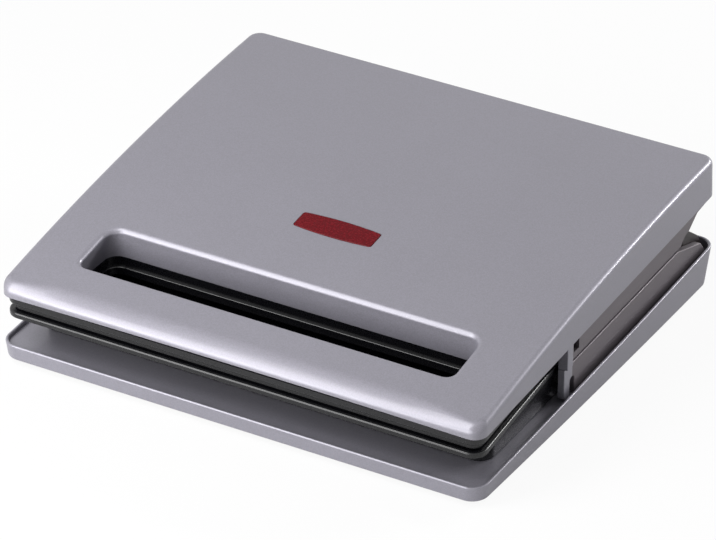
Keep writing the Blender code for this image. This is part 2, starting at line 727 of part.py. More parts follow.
def screw(name, length, place):
    """Pan-head screw; its head is at the bottom, where the driver comes from."""
    profile = [
        (0.0, length),
        (SCREW_SHANK_RADIUS * SCREW_POINT_SHARE, length),
        (SCREW_SHANK_RADIUS, length * SCREW_TAPER_SHARE),
        (SCREW_SHANK_RADIUS, SCREW_HEAD_HEIGHT),
        (SCREW_HEAD_RADIUS, SCREW_HEAD_HEIGHT),
        (SCREW_HEAD_RADIUS, SCREW_HEAD_HEIGHT * SCREW_EDGE_SHARE),
        (SCREW_HEAD_RADIUS * SCREW_CROWN_SHARE, 0.0),
        (0.0, 0.0),
    ]
    return turned(name, steel("screw_steel"), profile, place, segments=12)


def frame_ring(height, inset=0.0):
    """A ring of a frame's outer outline, wide at the lip and narrow beside the side covers."""
    def swell(y):
        narrowing = share_along(FRAME_NARROWING_START, FRAME_NARROWING_END, y)
        return (FRAME_REAR_HALF_WIDTH - FRAME_FRONT_HALF_WIDTH) * narrowing

    return ring(height, FRAME_FRONT_HALF_WIDTH - inset, FRAME_FRONT + inset, FRAME_REAR - inset,
                FRAME_CORNER - min(inset, FRAME_CORNER / 2), swell=swell)


def opening_ring(height, grow=0.0):
    """A ring of the opening that a plate sits in."""
    return ring(height, FRAME_OPENING + grow, PLATE_FRONT - SEAT - grow, PLATE_REAR + SEAT + grow,
                PLATE_CORNER + SEAT + grow)


def pedestal_ring(height, inset=0.0):
    """A ring of the lower frame's legs, which stand on the deck."""
    half_width = DECK_OPENING_HALF_WIDTH + 2 * FRAME_WALL - inset
    return ring(height, half_width, FRAME_FRONT + FRAME_LIP_DEPTH + inset, FRAME_REAR - inset,
                PLATE_CORNER + FRAME_WALL - inset)


def lower_frame():
    """Black frame round the lower plate, with the front lip and the finger pocket."""
    face = -PARTING_GAP / 2
    under = face - FRAME_SLAB
    lip = -LOWER_FRAME_LIP
    edge_middle = FRAME_EDGE_ROUND * ROUND_MIDDLE_SHARE
    rings = [
        opening_ring(above(parting, face)),
        frame_ring(above(parting, face), FRAME_EDGE_ROUND),
        frame_ring(above(parting, face - edge_middle), edge_middle),
        frame_ring(above(parting, face - FRAME_EDGE_ROUND)),
        frame_ring(above(parting, lip + FRAME_EDGE_ROUND * LIP_ROUND_SHARE)),
        frame_ring(above(parting, lip), FRAME_EDGE_ROUND * LIP_ROUND_SHARE),
        pedestal_ring(above(parting, lip)),
        pedestal_ring(above(deck, GAP)),
        pedestal_ring(above(deck, GAP), FRAME_WALL),
        pedestal_ring(above(parting, under), FRAME_WALL),
        opening_ring(above(parting, under)),
    ]
    frame = loft("lower_frame", black("lower_frame_plastic"), rings, looped=True)

    def pocket_ring(height, grow):
        return ring(above(parting, height), FINGER_POCKET_HALF_WIDTH + grow, FINGER_POCKET_FRONT - grow,
                    FINGER_POCKET_REAR + grow, FINGER_POCKET_CORNER + grow, side_steps=3)

    def pocket(name, grow, top, bottom):
        return loft(name, None, [pocket_ring(top, grow), pocket_ring(bottom + FRAME_EDGE_ROUND, grow),
                                 pocket_ring(bottom, grow - FRAME_EDGE_ROUND)])

    floor = face - FINGER_POCKET_DEPTH
    under_floor = floor - FRAME_SLAB * FINGER_FLOOR_SHARE
    join(frame, pocket("finger_pocket_shell", PLATE_FLANGE, face - FRAME_SLAB / 2, under_floor))
    cut(frame, pocket("finger_pocket", 0.0, OVERRUN, floor))
    return frame


def slot_ring(height, grow=0.0):
    """A ring of the grip slot."""
    plan = outline(SLOT_HALF_WIDTH + grow, SLOT_FRONT - grow, SLOT_REAR + grow, SLOT_CORNER + grow,
                   rear_corner=SLOT_REAR_CORNER + grow, side_steps=3)
    return [Vector((x + SLOT_OFFSET, y, height(x, y))) for x, y in plan]


def upper_frame():
    """Black frame round the upper plate, with the band under the lid's edge and the slot collar."""
    face = PARTING_GAP / 2
    under = face + FRAME_SLAB
    band = face + UPPER_BAND_RAISE
    floor = band + FRAME_WALL
    deep = UPPER_BAND_STEP + FRAME_WALL
    rings = [
        opening_ring(above(parting, face)),
        frame_ring(above(parting, face), UPPER_BAND_UNDERCUT),
        frame_ring(above(parting, band), UPPER_BAND_UNDERCUT),
        frame_ring(above(parting, band), FRAME_EDGE_ROUND * LIP_ROUND_SHARE),
        frame_ring(above(parting, band + FRAME_EDGE_ROUND * LIP_ROUND_SHARE)),
        frame_ring(above(lid_edge, -GAP)),
        frame_ring(above(lid_edge, -GAP), UPPER_BAND_STEP),
        frame_ring(above(lid_edge, UPPER_BAND_TUCK), UPPER_BAND_STEP),
        frame_ring(above(lid_edge, UPPER_BAND_TUCK), deep),
        frame_ring(above(parting, floor), deep),
        frame_ring(above(parting, floor), deep + UPPER_RIB),
        frame_ring(above(parting, under), deep + UPPER_RIB),
        opening_ring(above(parting, under)),
    ]
    frame = loft("upper_frame", black("upper_frame_plastic"), rings, looped=True)
    inside = -SLOT_DRAFT - GAP
    collar = [slot_ring(above(parting, height), SLOT_COLLAR_WALL + inside)
              for height in (face + FRAME_SLAB / 2, SLOT_COLLAR_HEIGHT - GAP)]
    join(frame, loft("frame_collar", None, collar))
    apron = (APRON_HALF_WIDTH, FRAME_REAR - FRAME_WALL, LID_REAR - LID_WALL - SEAT, APRON_CORNER)
    rings = [ring(above(lid_edge, height), *apron) for height in (APRON_RAISE, APRON_RAISE + APRON_THICKNESS)]
    join(frame, loft("apron", None, rings))
    for side in (-1, 1):
        join(frame, *knuckle(side))
    cut(frame, loft("frame_slot", None, [slot_ring(above(parting, -OVERRUN), inside),
                                         slot_ring(above(parting, SLOT_COLLAR_HEIGHT + OVERRUN), inside)]))
    for side in (-1, 1):
        cut(frame, rod("knuckle_bore", None, PIN_RADIUS + GAP, KNUCKLE_LENGTH + 2 * OVERRUN,
                       knuckle_centre(side), turn=(0.0, math.pi / 2, 0.0), segments=24))
    for x, y, height in LID_SCREW_SEATS:
        cut(frame, rod("shank_hole", None, BOSS_BORE, 4 * OVERRUN, (x, y, height), segments=12))
        recess = height + SCREW_HEAD_HEIGHT + GAP / 2
        cut(frame, rod("head_recess", None, HEAD_RECESS, OVERRUN, (x, y, recess - OVERRUN / 2), segments=16))
    return frame


def knuckle_centre(side):
    """Centre of a hinge knuckle, just inboard of its housing."""
    outer = HOUSING_OUTER_END - HOUSING_LENGTH - KNUCKLE_SIDE_GAP
    return (side * (outer - KNUCKLE_LENGTH / 2), HINGE_Y, HINGE_HEIGHT)


def knuckle(side):
    """Solids of one lid knuckle: a round eye and the web that hangs it from the apron."""
    x, y, z = knuckle_centre(side)
    eye = rod("knuckle_eye", None, KNUCKLE_RADIUS, KNUCKLE_LENGTH, (x, y, z), turn=(0.0, math.pi / 2, 0.0),
              segments=28)
    top = lid_edge(x, y) + APRON_RAISE + APRON_THICKNESS / 2
    half = KNUCKLE_LENGTH / 2 - GAP
    low = (x - half, y - KNUCKLE_WEB_FRONT, z)
    web = block("knuckle_web", None, low, (x + half, y + KNUCKLE_WEB_REAR, top))
    return eye, web


def lid_ring(angle_share, wall=0.0):
    """A ring of the lid's rounded shoulder, from upright (0) to flat (1)."""
    angle = math.pi / 2 * angle_share
    side = LID_SIDE_ROUND - wall
    brow = LID_FRONT_ROUND - wall

    def drop(x, y):
        near_front = 1.0 - share_along(LID_FRONT, LID_FRONT + LID_CORNER, y)
        radius = side + (brow - side) * near_front
        return wall + radius * (1.0 - math.sin(angle))

    def height(x, y):
        return crown(x, y) - drop(x, y)

    def swell(y):
        return -LID_DRAFT_SHARE * (height(0.0, y) - lid_edge(LID_WIDTH / 2, y))

    inset = wall + side * (1.0 - math.cos(angle))
    front = LID_FRONT + wall + brow * (1.0 - math.cos(angle))
    rear = LID_REAR - inset - LID_DRAFT_SHARE * (height(0.0, LID_REAR) - LID_EDGE_REAR_HEIGHT)
    return ring(height, LID_WIDTH / 2 - inset, front, rear, LID_CORNER - min(inset, LID_CORNER / 2),
                swell=swell, front_shares=FRONT_SHARES)


def lid_edge_ring(inset):
    """A ring along the lid's lower edge."""
    return ring(lid_edge, LID_WIDTH / 2 - inset, LID_FRONT + inset, LID_REAR - inset,
                LID_CORNER - min(inset, LID_CORNER / 2), front_shares=FRONT_SHARES)


def lid_casing():
    """Silver shell of the lid, with the collar of its grip slot and a skirt on each side."""
    shares = (1.0, 0.75, 0.5, 0.25, 0.0)
    rings = [lid_ring(share) for share in shares]
    rings += [lid_edge_ring(0.0), lid_edge_ring(LID_WALL)]
    rings += [lid_ring(share, LID_WALL) for share in (0.0, 0.5, 1.0)]
    casing = loft("lid_casing", silver("lid_paint"), rings, front_count=len(FRONT_SHARES))
    collar_foot = above(parting, SLOT_COLLAR_HEIGHT)
    collar = [slot_ring(collar_foot, SLOT_COLLAR_WALL - SLOT_DRAFT),
              slot_ring(above(crown, -LID_WALL / 2), SLOT_COLLAR_WALL)]
    join(casing, loft("slot_collar", None, collar))
    for side in (-1, 1):
        join(casing, skirt(side), skirt_post(side))
    for x, y, height in LID_SCREW_SEATS:
        low = height + screw_grip(y)
        high = crown(x, y) - LID_WALL / 2
        join(casing, rod("lid_boss", None, BOSS_RADIUS, high - low, (x, y, (low + high) / 2), segments=16))
    arc = [0.0, 0.25, 0.5, 0.75, 1.0]
    rings = [slot_ring(above(collar_foot, -OVERRUN), -SLOT_DRAFT),
             slot_ring(above(collar_foot, 0.0), -SLOT_DRAFT)]
    for share in arc:
        angle = math.pi / 2 * share
        rings.append(slot_ring(above(crown, -SLOT_EDGE_ROUND * (1.0 - math.sin(angle))),
                               SLOT_EDGE_ROUND * (1.0 - math.cos(angle))))
    rings.append(slot_ring(above(crown, OVERRUN), SLOT_EDGE_ROUND))
    cut(casing, loft("slot", None, rings))
    rings = [lens_ring(above(crown, height), GAP) for height in (-LID_WALL - OVERRUN, OVERRUN)]
    cut(casing, loft("lens_window", None, rings, paired=False))
    for x, y, height in LID_SCREW_SEATS:
        low = height
        high = height + LID_SCREW_LENGTH + GAP
        centre = (x, y, (low + high) / 2)
        cut(casing, rod("lid_screw_bore", None, BOSS_BORE, high - low, centre, segments=12))
    for side in (-1, 1):
        cut(casing, skirt_notch(side), skirt_cut(side), skirt_relief(side))
    return casing


def side_sweep(name, section, places):
    """Skins cross-sections, each a closed list of points, set up at places along the side."""
    rings = [[Vector((x, y, z)) for x, z in section(y)] for y in places]
    return loft(name, None, rings, paired=False)


def skirt(side):
    """Recessed wall that carries the lid's side down to the side cover."""
    def section(y):
        foot_height = seam(0.0, y) + PARTING_GAP / 2
        edge = lid_edge(SKIRT_FACE, y)
        inner = SKIRT_FACE - SKIRT_THICKNESS
        root = LID_WIDTH / 2 - LID_WALL / 2
        corners = ((SKIRT_FACE, foot_height), (SKIRT_FACE, edge + GAP), (root, edge + GAP),
                   (root, edge + SKIRT_ROOT), (inner, edge + SKIRT_ROOT), (inner, foot_height))
        return [(side * x, height) for x, height in corners]

    start = SKIRT_FRONT + SKIRT_POST_WIDTH / 2
    places = [start + (SKIRT_REAR - start) * step / SIDE_STEPS for step in range(SIDE_STEPS + 1)]
    return side_sweep("skirt", section, places)


def skirt_post(side):
    """Front end of a skirt, flush with the lid's outer wall."""
    def section(y):
        foot_height = seam(0.0, y) + PARTING_GAP / 2
        edge = lid_edge(SKIRT_FACE, y)
        inner = SKIRT_FACE - SKIRT_THICKNESS
        outer = LID_WIDTH / 2 - SKIRT_POST_INSET
        corners = ((outer, foot_height), (outer, edge + SKIRT_ROOT), (inner, edge + SKIRT_ROOT),
                   (inner, foot_height))
        return [(side * x, height) for x, height in corners]

    return side_sweep("skirt_post", section, [SKIRT_FRONT, SKIRT_FRONT + SKIRT_POST_WIDTH])


def skirt_notch(side):
    """Small window at the front end of the recess."""
    front = SKIRT_FRONT + SKIRT_POST_WIDTH
    low = seam(0.0, front) + SKIRT_NOTCH_RAISE
    inner = SKIRT_FACE - SKIRT_THICKNESS - OVERRUN
    outer = SKIRT_FACE + OVERRUN
    ends = sorted((side * inner, side * outer))
    return block("skirt_notch", None, (ends[0], front, low),
                 (ends[1], front + SKIRT_NOTCH_LENGTH, low + SKIRT_NOTCH_HEIGHT))


def skirt_cut(side):
    """Round bite out of the skirt's rear end, in front of the hinge."""
    inner = SKIRT_FACE - SKIRT_THICKNESS - OVERRUN
    outer = LID_WIDTH / 2 - LID_WALL - GAP
    centre = (side * (inner + outer) / 2, SKIRT_CUT_Y, SKIRT_CUT_HEIGHT)
    return rod("skirt_cut", None, SKIRT_CUT_RADIUS, outer - inner, centre, turn=(0.0, math.pi / 2, 0.0))


def skirt_relief(side):
    """Wedge behind the hinge that lets the skirt swing past the tray's rear corner."""
    outer = LID_WIDTH / 2 - LID_WALL - GAP
    inner = SKIRT_FACE - SKIRT_THICKNESS - OVERRUN
    start = HINGE_Y - RELIEF_START_LEAD
    end = SKIRT_REAR + OVERRUN
    low = HINGE_HEIGHT - KNUCKLE_RADIUS
    profile = ((start, HINGE_HEIGHT + RELIEF_START_RISE),
               (HINGE_Y + RELIEF_BEND_LAG, HINGE_HEIGHT + RELIEF_BEND_RISE),
               (end, HINGE_HEIGHT + RELIEF_END_RISE), (end, low), (start, low))
    points = [Vector((side * inner, y, z)) for y, z in profile]
    return slab("skirt_relief", None, points, outer - inner, (side, 0.0, 0.0))


def cheek(name, side):
    """Side cover of the base: a wall with a tongue and a slit at its front end."""
    tongue_end = CHEEK_TONGUE_FRONT + CHEEK_TONGUE_WIDTH
    slit_end = tongue_end + CHEEK_SLIT_WIDTH

    def top(y):
        return seam(0.0, y) - PARTING_GAP / 2

    def low(y):
        return deck(0.0, y) + GAP

    corners = [(CHEEK_TONGUE_FRONT, top(CHEEK_TONGUE_FRONT), CHEEK_ROUND / 4),
               (CHEEK_TONGUE_FRONT, low(CHEEK_TONGUE_FRONT), CHEEK_ROUND),
               (tongue_end, low(tongue_end), CHEEK_ROUND),
               (tongue_end, CHEEK_SLIT_HEIGHT, CHEEK_SLIT_WIDTH * SLIT_ROUND_SHARE),
               (slit_end, CHEEK_SLIT_HEIGHT, CHEEK_SLIT_WIDTH * SLIT_ROUND_SHARE),
               (slit_end, low(slit_end), CHEEK_ROUND / 4),
               (CHEEK_REAR, low(CHEEK_REAR), CHEEK_ROUND / 4),
               (CHEEK_REAR, CHEEK_REAR_HEIGHT, CHEEK_ROUND / 2),
               (CHEEK_BEND, CHEEK_BEND_HEIGHT, CHEEK_ROUND),
               (CHEEK_SHOULDER, top(CHEEK_SHOULDER), CHEEK_ROUND)]
    inner = side * (CHEEK_FACE - CHEEK_THICKNESS)
    points = rounded_polygon([Vector((inner, y, z)) for y, z, radius in corners],
                             [radius for y, z, radius in corners])
    return slab(name, silver("cheek_paint"), points, CHEEK_THICKNESS, (side, 0.0, 0.0))


def hinge_housing(name, side):
    """Hinge housing that stands on the deck, sloping down to the rear and bored from its inner end."""
    inner = HOUSING_OUTER_END - HOUSING_LENGTH
    low = deck(0.0, HOUSING_REAR) + GAP
    corners = [(HOUSING_FRONT, low, HOUSING_ROUND / 8),
               (HOUSING_REAR, low, HOUSING_ROUND / 8),
               (HOUSING_REAR, HOUSING_REAR_HEIGHT, HOUSING_ROUND / 2),
               (HOUSING_BEND, HOUSING_BEND_HEIGHT, HOUSING_ROUND),
               (HOUSING_CREST, HOUSING_TOP_HEIGHT, HOUSING_ROUND),
               (HOUSING_FRONT, HOUSING_TOP_HEIGHT, HOUSING_ROUND / 2)]
    points = rounded_polygon([Vector((side * inner, y, z)) for y, z, radius in corners],
                             [radius for y, z, radius in corners])
    housing = slab(name, material("housing_plastic", (0.018, 0.012, 0.012), 0.35), points, HOUSING_LENGTH,
                   (side, 0.0, 0.0))
    ease_edges(housing, HOUSING_BEVEL, 1)
    depth = pin_reach() - inner + OVERRUN
    bore_centre = (side * (pin_reach() + GAP - depth / 2), HINGE_Y, HINGE_HEIGHT)
    cut(housing, rod("pin_bore", None, PIN_RADIUS + GAP, depth, bore_centre, turn=(0.0, math.pi / 2, 0.0),
                     segments=24))
    return housing


def pin_reach():
    """How far out a hinge pin reaches, measured from its inner end at the knuckle's inner face."""
    knuckle_inner = HOUSING_OUTER_END - HOUSING_LENGTH - KNUCKLE_SIDE_GAP - KNUCKLE_LENGTH
    return knuckle_inner - GAP + PIN_LENGTH


def hinge_pin(name, side):
    """Steel pin through a knuckle and into its housing."""
    middle = side * (pin_reach() - PIN_LENGTH / 2)
    end = PIN_LENGTH / 2
    profile = [(0.0, end), (PIN_RADIUS - PIN_END_CHAMFER, end), (PIN_RADIUS, end - PIN_END_CHAMFER),
               (PIN_RADIUS, -end + PIN_END_CHAMFER), (PIN_RADIUS - PIN_END_CHAMFER, -end), (0.0, -end)]
    return turned(name, steel("pin_steel"), profile, (middle, HINGE_Y, HINGE_HEIGHT),
                  turn=(0.0, math.pi / 2, 0.0), segments=20)


def pocket_triangles():
    """The four sandwich pockets of a plate, each a triangle in plan."""
    inner = POCKET_RIDGE / 2
    outer = PLATE_HALF_WIDTH - POCKET_MARGIN
    front = PLATE_FRONT + POCKET_MARGIN
    rear = PLATE_REAR - POCKET_MARGIN
    width = outer - inner
    length = rear - front
    spread = POCKET_RIDGE / 2 * math.hypot(width, length)
    along_x = spread / length
    along_y = spread / width
    triangles = []
    for side in (-1, 1):
        near = [(inner, front), (outer - along_x, front), (inner, rear - along_y)]
        far = [(outer, rear), (inner + along_x, rear), (outer, front + along_y)]
        for plan in (near, far):
            triangles.append([Vector((side * x, y, 0.0)) for x, y in plan])
    return triangles


def dish(name, triangle, grow, depths, sign, surface=None):
    """A dished solid under a triangle; each depth is paired with how far its outline is drawn in."""
    a, b, c = triangle
    sides = ((b - c).length, (c - a).length, (a - b).length)
    centre = (a * sides[0] + b * sides[1] + c * sides[2]) / sum(sides)
    area = (b - a).cross(c - a).length / 2
    inner_radius = 2 * area / sum(sides)
    rings = []
    for inset, depth in depths:
        scale = 1.0 - (inset - grow) / inner_radius
        corners = [centre + (point - centre) * scale for point in triangle]
        plan = rounded_polygon(corners, [POCKET_ROUND * scale] * 3, steps=3)
        rings.append([Vector((point.x, point.y, parting(point.x, point.y) + sign * depth)) for point in plan])
    return loft(name, surface, rings, paired=False)


def plate(name, sign):
    """Cast plate of one half; sign is -1 for the lower plate and 1 for the upper."""
    face = PLATE_FACE_GAP / 2
    seat = PLATE_SEAT
    back = seat + PLATE_FLANGE
    body = (PLATE_HALF_WIDTH, PLATE_FRONT, PLATE_REAR, PLATE_CORNER)
    wide = (PLATE_HALF_WIDTH + PLATE_RIM_STEP, PLATE_FRONT - PLATE_RIM_STEP, PLATE_REAR + PLATE_RIM_STEP,
            PLATE_CORNER + PLATE_RIM_STEP)
    rings = [ring(above(parting, sign * face), *body, side_steps=2),
             ring(above(parting, sign * seat), *body, side_steps=2),
             ring(above(parting, sign * seat), *wide, side_steps=2),
             ring(above(parting, sign * back), *wide, side_steps=2)]
    casting = loft(name, material("non_stick_coating", (0.02, 0.02, 0.022), 0.35), rings)
    slope = [(inset * POCKET_DEPTH, face + share * POCKET_DEPTH) for inset, share in POCKET_SLOPE_SHARES]
    shell = [(slope[0][0], seat)] + [(inset, depth + PLATE_WALL) for inset, depth in slope[1:]]
    hollow = [(slope[0][0], face - OVERRUN)] + slope
    for triangle in pocket_triangles():
        join(casting, dish("pocket_shell", triangle, PLATE_WALL / 2, shell, sign))
    for triangle in pocket_triangles():
        cut(casting, dish("pocket", triangle, 0.0, hollow, sign))
    return casting


def element(name, sign):
    """Tubular heater: a loop under the plate with two tails at the rear."""
    tail = ELEMENT_TAIL_SPACING / 2
    left = [(-tail, ELEMENT_TAIL_END), (-tail, ELEMENT_REAR), (-ELEMENT_HALF_WIDTH, ELEMENT_REAR),
            (-ELEMENT_HALF_WIDTH, ELEMENT_FRONT)]
    corners = [Vector((x, y, 0.0)) for x, y in left + [(-x, y) for x, y in reversed(left)]]
    path = bent_path(corners, ELEMENT_BEND, above(parting, sign * ELEMENT_CENTRE))
    return tube(name, steel("element_sheath"), path, ELEMENT_RADIUS)


def reflector(name, sign):
    """Sheet-metal pan behind a heater; its edge stops just short of the plate's flange."""
    grow = PLATE_RIM_STEP - PAN_SHEET
    edge = PLATE_SEAT + PLATE_FLANGE + GAP

    def pan_ring(height, inset):
        size = grow - inset
        return ring(above(parting, sign * height), PLATE_HALF_WIDTH + size, PLATE_FRONT - size,
                    PLATE_REAR + size, PLATE_CORNER + size, side_steps=2)

    rings = [pan_ring(PAN_FLOOR, PAN_SHEET), pan_ring(edge, PAN_SHEET), pan_ring(edge, 0.0),
             pan_ring(PAN_FLOOR + PAN_SHEET, 0.0)]
    return loft(name, steel("pan_steel"), rings)


def lens_ring(height, grow):
    """A ring of the lens: a rectangle with bowed front and rear edges."""
    half = LENS_HALF_WIDTH + grow
    middle = LENS_FRONT + LENS_LENGTH / 2
    plan = []
    for edge in (-1, 1):
        for step in range(LENS_STEPS + 1):
            across = 2.0 * step / LENS_STEPS - 1.0
            bow = LENS_BOW * (1.0 - across ** 2)
            y = middle + edge * (LENS_LENGTH / 2 + bow + grow)
            corner = LENS_CORNER if abs(across) == 1.0 else 0.0
            plan.append((LENS_OFFSET - edge * across * (half - corner), y))
            if corner:
                turn = (-edge * across * half + LENS_OFFSET, y - edge * LENS_CORNER)
                plan.insert(len(plan) - (step == 0), turn)
    return [Vector((x, y, height(x, y))) for x, y in plan]


def indicator_lens():
    """Red lens, held under the lid's top by a flange."""
    flange = -LID_WALL - GAP
    rings = [lens_ring(above(crown, flange - LENS_FLANGE_THICKNESS), LENS_FLANGE),
             lens_ring(above(crown, flange), LENS_FLANGE),
             lens_ring(above(crown, flange), 0.0),
             lens_ring(above(crown, 0.0), 0.0),
             lens_ring(above(crown, LENS_RAISE), -LENS_RAISE)]
    return loft("indicator_lens", material("red_lens", (0.20, 0.003, 0.008), 0.2), rings, paired=False)


def lamp_floor(y):
    """Height of the lamp holder's underside, just clear of the upper pan."""
    return parting(0.0, y) + PAN_FLOOR + PAN_SHEET + GAP


def lamp_holder():
    """Small tray that carries the two lamps under the lens."""
    middle = LENS_FRONT + LENS_LENGTH / 2
    front = middle - HOLDER_HALF_DEPTH
    rear = middle + HOLDER_HALF_DEPTH

    def holder_ring(height, inset):
        left = LENS_OFFSET - HOLDER_HALF_WIDTH + inset
        right = LENS_OFFSET + HOLDER_HALF_WIDTH - inset
        low = front + inset
        high = rear - inset
        corners = ((left, low), (right, low), (right, high), (left, high))
        return [Vector((x, y, lamp_floor(y) + height)) for x, y in corners]

    side = HOLDER_FLOOR + 2 * GAP + LAMP_RADIUS
    rings = [holder_ring(HOLDER_FLOOR, HOLDER_FLOOR), holder_ring(side, HOLDER_FLOOR),
             holder_ring(side, 0.0), holder_ring(0.0, 0.0)]
    return loft("lamp_holder", material("holder_plastic", (0.6, 0.6, 0.56), 0.5), rings, paired=False)


def lamp(name, side):
    """Small neon lamp lying in its holder."""
    middle = LENS_FRONT + LENS_LENGTH / 2
    height = lamp_floor(middle) + HOLDER_FLOOR + GAP + LAMP_RADIUS
    end = LAMP_LENGTH / 2
    tip = LAMP_RADIUS * LAMP_TIP_SHARE
    profile = [(0.0, end), (tip, end - LAMP_RADIUS + tip), (LAMP_RADIUS, end - LAMP_RADIUS),
               (LAMP_RADIUS, -end), (0.0, -end)]
    return turned(name, material("lamp_glass", (0.8, 0.35, 0.2), 0.1), profile,
                  (LENS_OFFSET + side * LAMP_SPACING / 2, middle, height),
                  turn=(0.0, side * math.pi / 2, 0.0), segments=12)


def thermostat():
    """Round thermostat against the back of the lower plate, between the legs of the heater."""
    middle = (PLATE_FRONT + PLATE_REAR) / 2
    top = parting(THERMOSTAT_X, middle) - PLATE_BACK - GAP
    bottom = top - THERMOSTAT_HEIGHT
    neck = THERMOSTAT_RADIUS * THERMOSTAT_NECK_SHARE
    profile = [(0.0, top), (neck, top), (neck, top - THERMOSTAT_RING),
               (THERMOSTAT_RADIUS, top - THERMOSTAT_RING), (THERMOSTAT_RADIUS, top - 2 * THERMOSTAT_RING),
               (THERMOSTAT_RADIUS * THERMOSTAT_CAP_SHARE, bottom), (0.0, bottom)]
    return turned("thermostat", material("thermostat_body", (0.25, 0.22, 0.18), 0.5), profile,
                  (THERMOSTAT_X, middle, 0.0), segments=20)


def thermal_fuse():
    """Thermal fuse lying against the back of the lower plate."""
    middle = (PLATE_FRONT + PLATE_REAR) / 2
    centre = (-FUSE_X, middle, parting(0.0, middle) - PLATE_BACK - 2 * GAP - FUSE_RADIUS)
    end = FUSE_LENGTH / 2
    profile = [(0.0, end), (FUSE_RADIUS * FUSE_POINT_SHARE, end), (FUSE_RADIUS, end * FUSE_SHOULDER_SHARE),
               (FUSE_RADIUS, -end), (0.0, -end)]
    return turned("thermal_fuse", steel("fuse_case"), profile, centre, turn=(0.0, math.pi / 2, 0.0),
                  segments=12)


def terminal_block():
    """Three-way terminal block on the bottom cover."""
    low = TRAY_STANDING_HEIGHT + COVER_THICKNESS + GAP
    body = block("terminal_block", material("terminal_plastic", (0.7, 0.7, 0.66), 0.5),
                 (TERMINAL_X - TERMINAL_HALF_WIDTH, HINGE_Y - TERMINAL_HALF_DEPTH, low),
                 (TERMINAL_X + TERMINAL_HALF_WIDTH, HINGE_Y + TERMINAL_HALF_DEPTH, low + TERMINAL_HEIGHT))
    for way in (-1, 0, 1):
        place = (TERMINAL_X + way * TERMINAL_PITCH, HINGE_Y, low + TERMINAL_HEIGHT / 2)
        cut(body, rod("terminal_bore", None, TERMINAL_BORE, 4 * OVERRUN, place, turn=(math.pi / 2, 0.0, 0.0),
                      segments=12))
    return body


def gland_seat():
    """Where the gland's axis meets the leaning rear wall, and the turn that squares it to the wall."""
    wall = TRAY_REAR - TRAY_DRAFT_SHARE * (TRAY_REAR_HEIGHT - GLAND_HEIGHT)
    return (GLAND_X, wall, GLAND_HEIGHT), (-math.pi / 2 - math.atan(TRAY_DRAFT_SHARE), 0.0, 0.0)


def cord_gland():
    """Bush in the rear wall where the lead comes in."""
    place, turn = gland_seat()
    outer = GAP + GLAND_FLANGE
    profile = [(GLAND_BORE, outer), (GLAND_FLANGE_RADIUS - GAP, outer), (GLAND_FLANGE_RADIUS, outer - GAP),
               (GLAND_FLANGE_RADIUS, GAP), (GLAND_RADIUS, GAP), (GLAND_RADIUS, -GLAND_DEPTH),
               (GLAND_BORE, -GLAND_DEPTH), (GLAND_BORE, outer)]
    return turned("cord_gland", black("gland_rubber"), profile, place, turn=turn, segments=20)


def screw_grip(y):
    """Distance from a screw head's face to the boss above the frame that it clamps."""
    return APRON_THICKNESS + GAP if y > FRAME_REAR else FRAME_SLAB + GAP


def lid_screw_seats():
    """Places of the lid screws, with the height of the face that each head is let into."""
    seats = []
    for side in (-1, 1):
        front_height = parting(0.0, LID_SCREW_FRONT_Y) + PARTING_GAP / 2
        rear_height = lid_edge(0.0, LID_SCREW_REAR_Y) + APRON_RAISE
        seats.append((side * LID_SCREW_FRONT_X, LID_SCREW_FRONT_Y, front_height))
        seats.append((side * LID_SCREW_REAR_X, LID_SCREW_REAR_Y, rear_height))
    return seats


def clear_scene():
    """Removes whatever the scene holds."""
    for item in list(bpy.data.objects):
        bpy.data.objects.remove(item, do_unlink=True)


def build():
    """Builds every piece and hangs the lid's pieces on the hinge."""
    base_casing()
    base_cover()
    for index, (x, y) in enumerate(FOOT_PLACES, 1):
        foot(f"foot_{index}", x, y)
    for index, (x, y) in enumerate(COVER_SCREW_PLACES, 1):
        screw(f"cover_screw_{index}", COVER_SCREW_LENGTH, (x, y, TRAY_STANDING_HEIGHT))
    lower_frame()
    plate("lower_plate", -1)
    element("lower_element", -1)
    reflector("lower_reflector", -1)
    thermostat()
    thermal_fuse()
    terminal_block()
    cord_gland()
    for word, side in (("left", -1), ("right", 1)):
        cheek(f"{word}_cheek", side)
        hinge_housing(f"{word}_hinge_housing", side)
        hinge_pin(f"{word}_hinge_pin", side)
    lid_pieces = [lid_casing(), upper_frame(), plate("upper_plate", 1), element("upper_element", 1),
                  reflector("upper_reflector", 1), indicator_lens(), lamp_holder(), lamp("power_lamp", -1),
                  lamp("ready_lamp", 1)]
    for index, place in enumerate(LID_SCREW_SEATS, 1):
        lid_pieces.append(screw(f"lid_screw_{index}", LID_SCREW_LENGTH, place))
    hinge = bpy.data.objects.new("lid_hinge", None)
    hinge.location = (0.0, HINGE_Y, HINGE_HEIGHT)
    PARTS.objects.link(hinge)
    bpy.context.view_layer.update()
    for piece in lid_pieces:
        piece.parent = hinge
        piece.matrix_parent_inverse = hinge.matrix_world.inverted()


COVER_SCREW_PLACES = [(side * COVER_SCREW_X, y) for side in (-1, 1)
                      for y in (COVER_SCREW_FRONT_Y, COVER_SCREW_REAR_Y)]
FOOT_PLACES = [(side * FOOT_X, y) for side in (-1, 1) for y in (FOOT_FRONT_Y, FOOT_REAR_Y)]
LID_SCREW_SEATS = lid_screw_seats()

clear_scene()
PARTS = new_collection("sandwich_maker")
CUTTERS = new_collection("cutters")
build()
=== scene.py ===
"""Sandwich maker, dressed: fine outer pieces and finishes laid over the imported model.

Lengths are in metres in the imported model's frame: X runs to the right, Y to the rear and Z up.
"""

import logging
import math
from dataclasses import dataclass
from enum import Enum
from typing import Callable, Iterable

import bmesh
import bpy
from mathutils import Matrix, Vector


